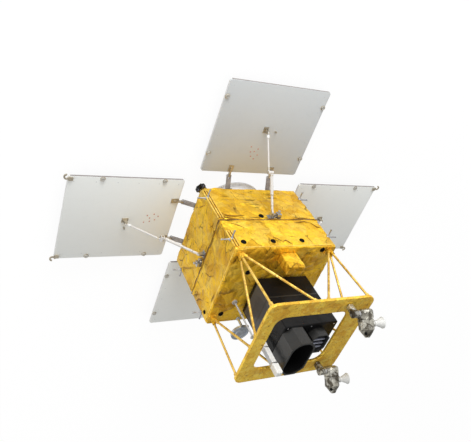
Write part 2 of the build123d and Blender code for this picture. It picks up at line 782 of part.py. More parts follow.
# Patch antenna on a post at the south edge of the payload deck
with BuildPart() as patch_antenna:
    foot = Vector(PATCH_X, PATCH_POST_Y, BUS_TOP)
    rod(foot, foot + Vector(0, 0, PATCH_FOOT), PATCH_FOOT_R)
    rod(foot, Vector(PATCH_X, PATCH_POST_Y, PATCH_Z), PATCH_POST_R)
    rod(Vector(PATCH_X, PATCH_Y, PATCH_Z), Vector(PATCH_X, PATCH_Y, PATCH_Z + PATCH), PATCH_R)
save(patch_antenna, "patch_antenna")

# Steered horns: base on the frame, leaning arm, turning head
pivot_z = FRAME_Z + FRAME + PIVOT_RISE
lean = Vector(0, -sin(radians(ARM_LEAN)), cos(radians(ARM_LEAN)))

with BuildPart() as gimbal_bases:
    for name, horn_x, horn_y, roll in HORNS:
        with BuildSketch(Plane.XY.offset(FRAME_Z + FRAME)):
            with Locations((horn_x - PEDESTAL_FAR, horn_y)):
                RectangleRounded(PEDESTAL_WIDE, PEDESTAL_DEEP, PEDESTAL_R)
        extrude(amount=PIVOT_RISE)
        barrel = Vector(horn_x - BARREL_FAR, horn_y, pivot_z)
        rod(barrel, barrel + Vector(BARREL_FAR - BARREL_NEAR, 0, 0), BARREL_R)
save(gimbal_bases, "gimbal_bases")

for name, horn_x, horn_y, roll in HORNS:
    pivot = Vector(horn_x, horn_y, pivot_z)
    arm_plane = Plane(origin=pivot, x_dir=(1, 0, 0), z_dir=lean)

    with BuildPart() as gimbal_arm:
        rod(pivot - lean * ARM_TAIL, pivot + lean * ARM_LENGTH, ARM_R)
        fillet(gimbal_arm.edges().filter_by(GeomType.CIRCLE).sort_by(Axis.Z)[0], ARM_TAIL_R)
        rod(pivot - Vector(BARREL_NEAR - TURN_CLEAR, 0, 0), pivot, HUB_R)
    save(gimbal_arm, f"gimbal_{name}_arm")

    horn_aim = arm_plane.x_dir * cos(radians(roll)) + arm_plane.y_dir * sin(radians(roll))
    horn_from = pivot + lean * (ARM_LENGTH + TURN_CLEAR + HORN_ALONG)
    with BuildPart() as gimbal_head:
        with BuildSketch(Plane(origin=pivot, x_dir=arm_plane.x_dir, z_dir=-arm_plane.y_dir)):
            with BuildLine():
                Polyline(
                    (0, ARM_LENGTH + TURN_CLEAR),
                    (HEAD_R, ARM_LENGTH + TURN_CLEAR),
                    (HEAD_R, ARM_LENGTH + TURN_CLEAR + HEAD_LENGTH),
                    (HEAD_TIP_R, ARM_LENGTH + TURN_CLEAR + HEAD_LENGTH + HEAD_TIP),
                    (0, ARM_LENGTH + TURN_CLEAR + HEAD_LENGTH + HEAD_TIP),
                    close=True,
                )
            make_face()
        revolve(axis=Axis(pivot, lean))
        with BuildSketch(Plane(origin=horn_from, x_dir=lean, z_dir=lean.cross(horn_aim))):
            with BuildLine():
                Polyline(
                    (0, 0),
                    (HORN_NECK_R, 0),
                    (HORN_NECK_R, HORN_NECK),
                    (HORN_MOUTH_R - HORN_RIM_LIP, HORN_REACH - HORN_RIM),
                    (HORN_MOUTH_R, HORN_REACH - HORN_RIM),
                    (HORN_MOUTH_R, HORN_REACH),
                    (HORN_MOUTH_R - HORN_RIM_WALL, HORN_REACH),
                    (HORN_MOUTH_R - HORN_RIM_WALL, HORN_REACH - HORN_DISH),
                    (0, HORN_REACH - HORN_DISH),
                    close=True,
                )
            make_face()
        revolve(axis=Axis(horn_from, horn_aim))
    save(gimbal_head, f"gimbal_{name}_head")
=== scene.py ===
"""Dresses a small Earth observation satellite: foil blankets, folding panels, camera and steered horns."""

import logging
import math
from dataclasses import dataclass
from enum import Enum
from functools import lru_cache
from typing import Any, Iterable, Optional, Sequence

import bmesh
import bpy
import numpy as np
from mathutils import Matrix, Vector


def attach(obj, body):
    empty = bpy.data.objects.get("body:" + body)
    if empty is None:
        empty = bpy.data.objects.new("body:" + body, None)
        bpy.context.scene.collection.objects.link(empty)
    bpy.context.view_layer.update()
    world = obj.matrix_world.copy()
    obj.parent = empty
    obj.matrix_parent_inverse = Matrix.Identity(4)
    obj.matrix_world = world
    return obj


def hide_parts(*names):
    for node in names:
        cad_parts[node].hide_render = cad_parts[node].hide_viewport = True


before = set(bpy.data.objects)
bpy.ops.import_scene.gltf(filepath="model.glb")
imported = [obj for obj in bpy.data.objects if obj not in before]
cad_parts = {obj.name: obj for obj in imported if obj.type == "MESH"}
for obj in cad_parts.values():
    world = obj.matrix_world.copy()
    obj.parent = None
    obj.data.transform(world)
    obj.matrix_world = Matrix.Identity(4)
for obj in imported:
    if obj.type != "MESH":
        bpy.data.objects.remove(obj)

LOG = logging.getLogger("satellite")
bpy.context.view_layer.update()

Colour = tuple[float, float, float]
Point = tuple[float, float, float]
Outline = Sequence[tuple[float, float]]
Spot = tuple[Point, float]

X_AXIS = Vector((1.0, 0.0, 0.0))
Y_AXIS = Vector((0.0, 1.0, 0.0))
UP = Vector((0.0, 0.0, 1.0))
SIGNS = (-1, 1)
CORNERS = ((-1, -1), (-1, 1), (1, -1), (1, 1))
HALF_X, HALF_Y, SEAM_Z = 0.500, 0.430, 0.646
PANEL_LONG, PANEL_WIDE = 1.014, 0.883
HINGES = (-0.215, 0.215)
EDGE_FAR, EDGE_NEAR = 0.085, 0.015
SEAM_HOLD, CALM_RIM = (0.003, 0.045), 0.05
PURE_WHITE = (1.0, 1.0, 1.0)


class Value:
    """A number in a shader; sums and products of values add Math nodes."""

    def __init__(self, shade: "Nodes", socket: Any) -> None:
        """Keeps the node tree and the socket that carries the number."""
        self.shade = shade
        self.socket = socket

    def _math(self, operation: str, first: Any, second: Any = 0.0) -> "Value":
        """Adds one Math node for two values or numbers."""
        return self.shade.value("ShaderNodeMath", {"operation": operation}, {0: first, 1: second})

    def __add__(self, other: Any) -> "Value":
        """Sum."""
        return self._math("ADD", self, other)

    __radd__ = __add__

    def __sub__(self, other: Any) -> "Value":
        """Difference."""
        return self._math("SUBTRACT", self, other)

    def __rsub__(self, other: Any) -> "Value":
        """Difference from a number."""
        return self._math("SUBTRACT", other, self)

    def __mul__(self, other: Any) -> "Value":
        """Product."""
        return self._math("MULTIPLY", self, other)

    __rmul__ = __mul__

    def most(self, other: Any) -> "Value":
        """The larger of two values."""
        return self._math("MAXIMUM", self, other)

    def size(self) -> "Value":
        """The value without its sign."""
        return self._math("ABSOLUTE", self)

    def wave(self) -> "Value":
        """Sine of the value in radians."""
        return self._math("SINE", self)

    def band(self, low: float, high: float) -> "Value":
        """A smooth step from 0 at low to 1 at high."""
        inputs = {"Value": self, "From Min": low, "From Max": high}
        return self.shade.value("ShaderNodeMapRange", {"interpolation_type": "SMOOTHSTEP"}, inputs)


class Nodes:
    """A node tree, and the one way to add nodes to it."""

    def __init__(self, tree: Any) -> None:
        """Starts with an empty tree."""
        self.tree = tree
        tree.nodes.clear()

    def put(self, socket: Any, value: Any) -> None:
        """Sets a socket to a number or colour, or links a value or socket to it.

        Args:
            socket: the socket that is set.
            value: what it gets.
        """
        if isinstance(value, Value):
            value = value.socket
        if isinstance(value, bpy.types.NodeSocket):
            self.tree.links.new(value, socket)
        elif isinstance(value, tuple) and len(value) == 3 and socket.type == "RGBA":
            socket.default_value = (*value, 1.0)
        else:
            socket.default_value = value

    def node(self, kind: str, settings: dict[str, Any], inputs: dict[Any, Any]) -> Any:
        """Adds one node.

        Args:
            kind: the node's type.
            settings: the node's own settings, set before its sockets.
            inputs: values or links by socket name or index.

        Returns:
            The node.
        """
        made = self.tree.nodes.new(kind)
        for name, value in settings.items():
            setattr(made, name, value)
        for key, value in inputs.items():
            self.put(made.inputs[key], value)
        return made

    def value(self, kind: str, settings: dict[str, Any], inputs: dict[Any, Any], output: Any = 0) -> Value:
        """Adds one node and gives one of its outputs as a value."""
        return Value(self, self.node(kind, settings, inputs).outputs[output])

    def seen(self) -> Value:
        """1 where the eye, gloss or glass looks, 0 for plain light."""
        ray = self.node("ShaderNodeLightPath", {}, {}).outputs
        return Value(self, ray["Is Camera Ray"]).most(ray["Is Glossy Ray"]).most(ray["Is Transmission Ray"])


class Shade(Nodes):
    """One procedural material and its nodes."""

    def __init__(self, name: str) -> None:
        """Starts an empty material with its shader and output.

        Args:
            name: the material's name.
        """
        self.material = bpy.data.materials.new(name)
        self.material.use_nodes = True
        super().__init__(self.material.node_tree)
        self.shader = self.node("ShaderNodeBsdfPrincipled", {}, {})
        self.output = self.node("ShaderNodeOutputMaterial", {}, {"Surface": self.shader.outputs[0]})

    def place(self) -> Any:
        """The place on the object, in metres."""
        return self.node("ShaderNodeTexCoord", {}, {}).outputs["Object"]

    def stretched(self, scale: Point, turn: Point = (0.0, 0.0, 0.0)) -> Any:
        """The place on the object, turned and stretched."""
        inputs = {"Vector": self.place(), "Rotation": turn, "Scale": scale}
        return self.node("ShaderNodeMapping", {}, inputs).outputs[0]

    def axes(self, where: Any) -> tuple[Value, Value, Value]:
        """The three parts of a vector as values."""
        x, y, z = self.node("ShaderNodeSeparateXYZ", {}, {0: where}).outputs
        return Value(self, x), Value(self, y), Value(self, z)

    def noise(self, where: Any, scale: float, detail: float = 3.0, twist: float = 0.0) -> Value:
        """Smooth noise between 0 and 1."""
        inputs = {"Vector": where, "Scale": scale, "Detail": detail, "Distortion": twist}
        return self.value("ShaderNodeTexNoise", {}, inputs)

    def warped(self, where: Any, scale: float, amount: float) -> Any:
        """A place pushed about by noise, so that a pattern on it bends.

        Args:
            where: the place.
            scale: scale of the noise.
            amount: how far the noise pushes, in metres.

        Returns:
            The socket of the new place.
        """
        push = self.node("ShaderNodeTexNoise", {}, {"Vector": where, "Scale": scale, "Detail": 2.0})
        scaled = {0: push.outputs["Color"], "Scale": amount}
        step = self.node("ShaderNodeVectorMath", {"operation": "SCALE"}, scaled)
        total = self.node("ShaderNodeVectorMath", {"operation": "ADD"}, {0: where, 1: step.outputs[0]})
        return total.outputs[0]

    def facets(self, where: Any, scale: float) -> Value:
        """Height over broken facets: 0 along their edges, larger inside."""
        inputs = {"Vector": where, "Scale": scale}
        return self.value("ShaderNodeTexVoronoi", {"feature": "DISTANCE_TO_EDGE"}, inputs, "Distance")

    def patches(self, where: Any, scale: float) -> Value:
        """One random number for each broken patch."""
        made = self.node("ShaderNodeTexVoronoi", {"feature": "F1"}, {"Vector": where, "Scale": scale})
        return self.value("ShaderNodeSeparateColor", {}, {0: made.outputs["Color"]})

    def mix(self, share: Any, first: Any, second: Any) -> Any:
        """A colour between two colours."""
        made = self.node("ShaderNodeMix", {"data_type": "RGBA"}, {"Factor": share, 6: first, 7: second})
        return made.outputs[2]

    def bump(self, height: Value, depth: float) -> Any:
        """A normal from a height of 0 to 1 that stands for a depth in metres."""
        made = self.node("ShaderNodeBump", {}, {"Height": height, "Distance": depth, "Strength": 1.0})
        return made.outputs[0]

    def surface(self, **inputs: Any) -> bpy.types.Material:
        """Sets the shader's sockets.

        Args:
            **inputs: numbers, colours, values or sockets by name, with _ for a space.

        Returns:
            The material.
        """
        for name, value in inputs.items():
            self.put(self.shader.inputs[name.replace("_", " ")], value)
        return self.material


@dataclass(frozen=True)
class Foil:
    """Crinkled metal foil: broad patches, sparse creasing and short wrinkle marks darkened with painted
    shade, painted highlight glints on small facets, and spots of tarnish.
    """

    name: str
    light: Colour
    deep: Colour
    # The dark colour of painted shade in folds, also the colour of tarnish spots.
    crease: Colour
    # Colour of painted highlight glints on small facets; glint sets their share.
    bright: Colour = (1.0, 0.84, 0.26)
    patch: float = 0.17
    facet: float = 0.05
    depth: float = 0.010
    metal: float = 0.45
    smooth: float = 0.34
    rough: float = 0.52
    spots: float = 0.30
    # The next two amounts set how far fold lines and wrinkle marks are darkened: painted shade.
    creases: float = 0.75
    wrinkles: float = 0.70
    shine: float = 0.3
    glint: float = 0.35
    tones: tuple[float, float] = (0.02, 0.98)
    seams: tuple[float, ...] = ()
    edges: tuple[tuple[float, float], ...] = ()

    def wrinkle(self, shade: Shade, where: Any) -> Value:
        """Where short wrinkle marks lie, for their bump and their painted shade: level ones along the seams,
        slanting ones beside upright edges.

        Args:
            shade: the material's nodes.
            where: the place on the object.

        Returns:
            1 in a wrinkle and 0 elsewhere.
        """
        near = shade.noise(where, 3.4, 2.0).band(0.54, 0.68)
        slope = shade.noise(where, 4.6, 2.0).band(0.56, 0.68)
        east, north, high = shade.axes(where)
        for seam in self.seams:
            near = near.most(1.0 - (high - seam).size().band(0.010, 0.085))
        for half_x, half_y in self.edges:
            by_x = east.size().band(half_x - EDGE_FAR, half_x - EDGE_NEAR)
            by_y = north.size().band(half_y - EDGE_FAR, half_y - EDGE_NEAR)
            slope = slope.most(by_x * by_y * 0.9)
        lying = shade.warped(shade.stretched((5.0, 5.0, 34.0)), 0.8, 1.4)
        leaning = shade.warped(shade.stretched((21.0, 5.0, 6.0), (0.4, 0.7, 0.8)), 0.8, 1.6)
        level, slant = shade.noise(lying, 1.0, 3.0, 0.3), shade.noise(leaning, 1.0, 3.0, 0.3)
        return (level.band(0.58, 0.64) * near).most(slant.band(0.61, 0.67) * slope)

    @lru_cache(maxsize=None)
    def material(self) -> bpy.types.Material:
        """Makes the material once.

        Returns:
            The material.
        """
        shade = Shade(self.name)
        where = shade.place()
        bent = shade.warped(where, 7.0, 0.10)
        fine = shade.warped(where, 26.0, 0.03)
        large = shade.facets(bent, 1.0 / self.patch)
        small = shade.facets(fine, 1.0 / self.facet)
        broad = shade.patches(bent, 1.0 / self.patch)
        tint = shade.patches(fine, 1.0 / self.facet)
        cloud = shade.noise(where, 5.0, 4.0, 0.7)
        tiny = shade.noise(where, 150.0, 2.0)
        wrinkle = self.wrinkle(shade, where)
        # Painted shade: fold lines and wrinkle marks are darkened towards the shade colour; tarnish spots
        # below share that colour.
        line = (1.0 - large.band(0.0, 0.034)) * shade.noise(where, 9.0, 2.0).band(0.50, 0.66)
        thin = (1.0 - small.band(0.0, 0.05)) * shade.noise(where, 14.0, 2.0).band(0.52, 0.68)
        # Painted highlight: random small facets mixed towards the highlight colour, as glints of light.
        highlight_spots = shade.patches(shade.warped(where, 12.0, 0.07), 0.9 / self.facet).band(0.60, 0.95)
        worn = shade.noise(where, 60.0, 4.0, 1.2).band(0.58, 0.72)
        tone = broad * 0.52 + tint * 0.22 + cloud * 0.9 - 0.33
        plain = shade.mix(tone.band(*self.tones), self.light, self.deep)
        base = shade.mix(highlight_spots * self.glint, plain, self.bright)
        dark = (line * self.creases).most(thin * self.creases * 0.6).most(wrinkle * self.wrinkles)
        crease_shaded = shade.mix(dark, base, self.crease)
        spotted = shade.mix(worn * self.spots, crease_shaded, self.crease)
        height = large * 1.6 + small * 0.8 + tiny * 0.04 - wrinkle * 0.40
        return shade.surface(
            Base_Color=spotted,
            Metallic=self.metal,
            Roughness=self.smooth + tint * (self.rough - self.smooth) + dark * 0.10,
            Specular_IOR_Level=self.shine,
            Normal=shade.bump(height, self.depth),
        )


@dataclass(frozen=True)
class Paint:
    """A painted or moulded surface, a little uneven, with faint dirt."""

    name: str
    colour: Colour
    shadow: Colour
    rough: float = 0.5
    grain: float = 180.0
    depth: float = 0.0004
    metal: float = 0.0
    shine: float = 0.5

    @lru_cache(maxsize=None)
    def material(self) -> bpy.types.Material:
        """Makes the material once.

        Returns:
            The material.
        """
        shade = Shade(self.name)
        where = shade.place()
        broad = shade.noise(where, 2.6, 4.0, 0.4)
        dirt = shade.noise(where, 17.0, 5.0, 0.8).band(0.48, 0.80)
        peel = shade.noise(where, self.grain, 2.0)
        base = shade.mix(broad * 0.45 + dirt * 0.30, self.colour, self.shadow)
        return shade.surface(
            Base_Color=base,
            Metallic=self.metal,
            Roughness=self.rough + (dirt - 0.4) * 0.12,
            Specular_IOR_Level=self.shine,
            Normal=shade.bump(peel, self.depth),
        )


@dataclass(frozen=True)
class Metal:
    """Machined or satin metal with fine tool marks and darker hollows."""

    name: str
    colour: Colour
    worn: Colour
    rough: float = 0.32
    marks: Point = (60.0, 60.0, 900.0)
    metal: float = 0.9

    @lru_cache(maxsize=None)
    def material(self) -> bpy.types.Material:
        """Makes the material once.

        Returns:
            The material.
        """
        shade = Shade(self.name)
        lines = shade.noise(shade.stretched(self.marks), 1.0, 2.0)
        cloud = shade.noise(shade.place(), 24.0, 4.0, 0.5)
        base = shade.mix(cloud.band(0.30, 0.78) * 0.7 + lines * 0.2, self.colour, self.worn)
        return shade.surface(
            Base_Color=base,
            Metallic=self.metal,
            Roughness=self.rough + (lines - 0.5) * 0.16 + cloud * 0.08,
            Normal=shade.bump(lines, 0.0003),
        )


@dataclass(frozen=True)
class CellGlass:
    """Dark solar cell under a thin cover sheet, with fine grid fingers."""

    name: str
    colour: Colour
    tint: Colour
    finger: Colour
    pitch: float = 0.0032

    @lru_cache(maxsize=None)
    def material(self) -> bpy.types.Material:
        """Makes the material once.

        Returns:
            The material.
        """
        shade = Shade(self.name)
        where = shade.place()
        east, north, _ = shade.axes(where)
        sheen = shade.noise(where, 11.0, 3.0, 0.6)
        patch = shade.patches(where, 10.4)
        lines = ((east + north) * (2.0 * math.pi / self.pitch)).wave().band(0.90, 0.98)
        base = shade.mix(sheen * 0.5 + patch * 0.5, self.colour, self.tint)
        return shade.surface(
            Base_Color=shade.mix(lines * 0.22, base, self.finger),
            Metallic=0.15,
            Roughness=0.16 + sheen * 0.10,
            Coat_Weight=0.8,
            Normal=shade.bump(sheen, 0.0006),
        )


@dataclass(frozen=True)
class LensGlass:
    """Dark coated glass with a faint purple and green bloom."""

    name: str
    colour: Colour
    bloom: Colour

    @lru_cache(maxsize=None)
    def material(self) -> bpy.types.Material:
        """Makes the material once.

        Returns:
            The material.
        """
        shade = Shade(self.name)
        bloom = shade.noise(shade.place(), 9.0, 2.0, 0.3)
        return shade.surface(
            Base_Color=shade.mix(bloom, self.colour, self.bloom),
            Roughness=0.05 + bloom * 0.04,
            Coat_Weight=1.0,
            Metallic=0.35,
        )


Finish = Foil | Paint | Metal | CellGlass | LensGlass

GOLD = Foil(
    "gold_foil", (1.0, 0.63, 0.042), (0.56, 0.275, 0.014), (0.085, 0.030, 0.003), bright=(1.0, 0.78, 0.16),
    patch=0.20, facet=0.085, shine=0.12, glint=0.26, wrinkles=0.74, depth=0.021,
    seams=(SEAM_Z,), edges=((HALF_X, HALF_Y),),
)
# Painted highlight: a lighter copy of the blanket foil for the rolled hems.
HEM_HIGHLIGHT_GOLD = Foil(
    "hem_foil", (1.0, 0.70, 0.13), (0.78, 0.46, 0.05), (0.22, 0.09, 0.012),
    patch=0.06, facet=0.02, depth=0.002, creases=0.6, wrinkles=0.4, shine=0.15,
)
HEM_SHADE = Foil(
    "hem_shade", (0.34, 0.165, 0.014), (0.17, 0.075, 0.007), (0.06, 0.025, 0.004), bright=(0.42, 0.22, 0.03),
    patch=0.06, facet=0.02, depth=0.002,
)
FRAME_GOLD = Foil(
    "frame_foil", (1.0, 0.69, 0.085), (0.72, 0.39, 0.038), (0.22, 0.065, 0.010), bright=(1.0, 0.82, 0.20),
    patch=0.08, facet=0.028, depth=0.005, spots=0.70, rough=0.58, creases=0.7, wrinkles=0.6, shine=0.15,
)
TUBE_GOLD = Foil(
    "tube_foil", (0.92, 0.62, 0.13), (0.58, 0.33, 0.05), (0.22, 0.095, 0.016),
    patch=0.05, facet=0.02, depth=0.002, spots=0.78, metal=0.5, creases=0.85, wrinkles=0.6,
)
SILVER = Foil(
    "silver_foil", (0.49, 0.47, 0.40), (0.095, 0.083, 0.063), (0.025, 0.021, 0.016),
    bright=(0.78, 0.77, 0.70), patch=0.058, facet=0.026, depth=0.004, metal=0.75, smooth=0.22, rough=0.46,
    spots=0.40, creases=0.8, wrinkles=0.6, tones=(0.22, 0.66),
)
BLACK_FOIL = Foil(
    "black_foil", (0.0070, 0.0070, 0.0074), (0.0035, 0.0035, 0.0038), (0.002, 0.002, 0.002),
    bright=(0.010, 0.010, 0.011), patch=0.26, facet=0.09, depth=0.004, metal=0.0, smooth=0.26, rough=0.38,
    spots=0.1, creases=0.4, wrinkles=0.2, shine=0.16,
)
# Painted sheen: a lighter copy of the black foil for the camera's west faces.
SIDE_SHEEN = Foil(
    "side_sheet", (0.084, 0.085, 0.090), (0.054, 0.055, 0.060), (0.014, 0.014, 0.015),
    bright=(0.105, 0.106, 0.114), patch=0.20, facet=0.07, depth=0.002, metal=0.0, rough=0.46,
    spots=0.1, creases=0.4, wrinkles=0.2,
)
HOOD_BLACK = Paint(
    "hood_black", (0.016, 0.016, 0.015), (0.008, 0.008, 0.0075), rough=0.36, grain=260.0, shine=0.55
)
WELL_BLACK = Paint("well_black", (0.003, 0.003, 0.003), (0.0015, 0.0015, 0.0015), rough=0.85, shine=0.1)
# Painted highlight: pale grey-blue for the lit edges of the finder's vanes.
VANE_HIGHLIGHT = Paint("vane_grey", (0.40, 0.42, 0.50), (0.22, 0.23, 0.28), rough=0.35, metal=0.3)
PANEL_SKIN = Paint("panel_skin", (0.82, 0.835, 0.81), (0.77, 0.785, 0.76), grain=420.0, shine=0.3)
# Painted shade: a darker copy of the panel skin for the north panel.
SHADED_SKIN = Paint("panel_skin_dull", (0.61, 0.63, 0.635), (0.56, 0.58, 0.585), grain=420.0, shine=0.3)
EDGE_TAPE = Paint("edge_tape", (0.26, 0.235, 0.225), (0.18, 0.155, 0.145), rough=0.55)
MARK_RED = Paint("terminal_red", (0.58, 0.27, 0.20), (0.42, 0.17, 0.12))
WHITE = Paint("white_paint", (0.84, 0.84, 0.82), (0.70, 0.70, 0.68), rough=0.42)
STRUT_WHITE = Paint("strut_paint", (0.70, 0.68, 0.65), (0.54, 0.51, 0.48), rough=0.42)
# Painted highlight: white strips for the panel edges that face west.
EDGE_HIGHLIGHT = Paint("cup_white", (0.80, 0.79, 0.77), (0.64, 0.63, 0.61), rough=0.4)
CUP_GREY = Paint("cup_grey", (0.52, 0.51, 0.47), (0.34, 0.33, 0.30), rough=0.4)
RADOME = Paint("radome_white", (0.71, 0.71, 0.68), (0.58, 0.58, 0.56))
MAST_GREY = Paint("mast_grey", (0.54, 0.55, 0.56), (0.40, 0.41, 0.42), rough=0.4)
SHEET_AMBER = Paint("cell_sheet", (0.10, 0.050, 0.016), (0.055, 0.028, 0.010), rough=0.35)
VENT_BLACK = Paint("vent_black", (0.004, 0.004, 0.004), (0.002, 0.002, 0.002), rough=0.8, shine=0.1)
SENSOR_BLACK = Paint("sensor_black", (0.014, 0.014, 0.014), (0.007, 0.007, 0.007), rough=0.45, shine=0.35)
# Pale metal, lightened further so that the ring in the shade under the bus still reads light: partly painted
# light.
RING_LIT_METAL = Metal("ring_metal", (0.94, 0.94, 0.94), (0.84, 0.84, 0.84), metal=0.25)
HINGE_METAL = Metal("hinge_metal", (0.36, 0.32, 0.29), (0.20, 0.175, 0.155), rough=0.45)
BRIGHT = Metal("bright_metal", (0.60, 0.60, 0.60), (0.30, 0.29, 0.29))
FITTING = Metal("fitting_metal", (0.60, 0.54, 0.43), (0.32, 0.28, 0.22), rough=0.40)
PATCH_METAL = Metal("patch_metal", (0.64, 0.69, 0.74), (0.42, 0.46, 0.51), rough=0.30)
PLAIN_METAL = Metal("plain_metal", (0.46, 0.46, 0.47), (0.25, 0.25, 0.26), rough=0.4)
CELL = CellGlass("solar_cell", (0.010, 0.014, 0.050), (0.020, 0.016, 0.075), (0.20, 0.21, 0.26))
LENS = LensGlass("lens_glass", (0.004, 0.005, 0.010), (0.020, 0.010, 0.034))


@dataclass(frozen=True)
class Crinkle:
    """Heights of crumpled foil: many folded waves that cross in all directions."""

    seed: int
    height: float
    longest: float = 0.24
    shortest: float = 0.04
    waves: int = 11

    def heights(self, points: np.ndarray) -> np.ndarray:
        """Height of the foil over each point.

        Args:
            points: places in metres, one row each.

        Returns:
            One height in metres for each place, from 0 up.
        """
        draw = np.random.default_rng(self.seed)
        total = np.zeros(len(points))
        weight = 0.0
        lengths = np.geomspace(self.longest, self.shortest, self.waves)
        for length in lengths:
            aim = draw.normal(size=3)
            side = draw.normal(size=3)
            aim /= np.linalg.norm(aim)
            side /= np.linalg.norm(side)
            phase, shift = draw.uniform(0.0, 1.0, 2)
            bend = 0.30 * np.sin(2.0 * math.pi * (points @ side / (length * 1.7) + shift))
            turn = points @ aim / length + phase + bend
            fold = 2.0 * np.abs(turn - np.floor(turn + 0.5))
            patch = 0.55 + 0.45 * np.sin(points @ (side * 2.1 + aim) / length + 6.0 * shift)
            size = length**0.7
            total += size * fold * patch
            weight += size
        return self.height * total / weight


def ease(distance: np.ndarray, near: float, far: float) -> np.ndarray:
    """A smooth step from 0 within near to 1 beyond far."""
    share = np.clip((distance - near) / (far - near), 0.0, 1.0)
    return share * share * (3.0 - 2.0 * share)


def edges_of(verts: Iterable[Any]) -> list[Any]:
    """The edges at some vertices, each one once."""
    return list(dict.fromkeys(edge for vert in verts for edge in vert.link_edges))


def corner_round(angle: float, half: Point) -> tuple[float, float]:
    """A place on a rounded rectangle, by its share of the way round.

    Args:
        angle: share of the way round, in radians.
        half: half width, half depth and corner radius.

    Returns:
        The place as x and y.
    """
    wide, deep, radius = half
    flat_x, flat_y = 2.0 * (wide - radius), 2.0 * (deep - radius)
    arc = math.pi * radius / 2.0
    runs = (flat_y / 2.0, arc, flat_x, arc, flat_y, arc, flat_x, arc, flat_y / 2.0)
    left = (angle % (2.0 * math.pi)) / (2.0 * math.pi) * sum(runs)
    corners = ((1, 1), (-1, 1), (-1, -1), (1, -1))
    for index, run in enumerate(runs):
        if left <= run or index == len(runs) - 1:
            break
        left -= run
    if index % 2:
        sx, sy = corners[index // 2]
        turn = math.pi / 2.0 * (index // 2) + left / radius
        x, y = sx * (wide - radius), sy * (deep - radius)
        return x + radius * math.cos(turn), y + radius * math.sin(turn)
    straight = (
        (wide, left), (flat_x / 2.0 - left, deep), (-wide, flat_y / 2.0 - left),
        (left - flat_x / 2.0, -deep), (wide, left - flat_y / 2.0),
    )
    return straight[index // 2]


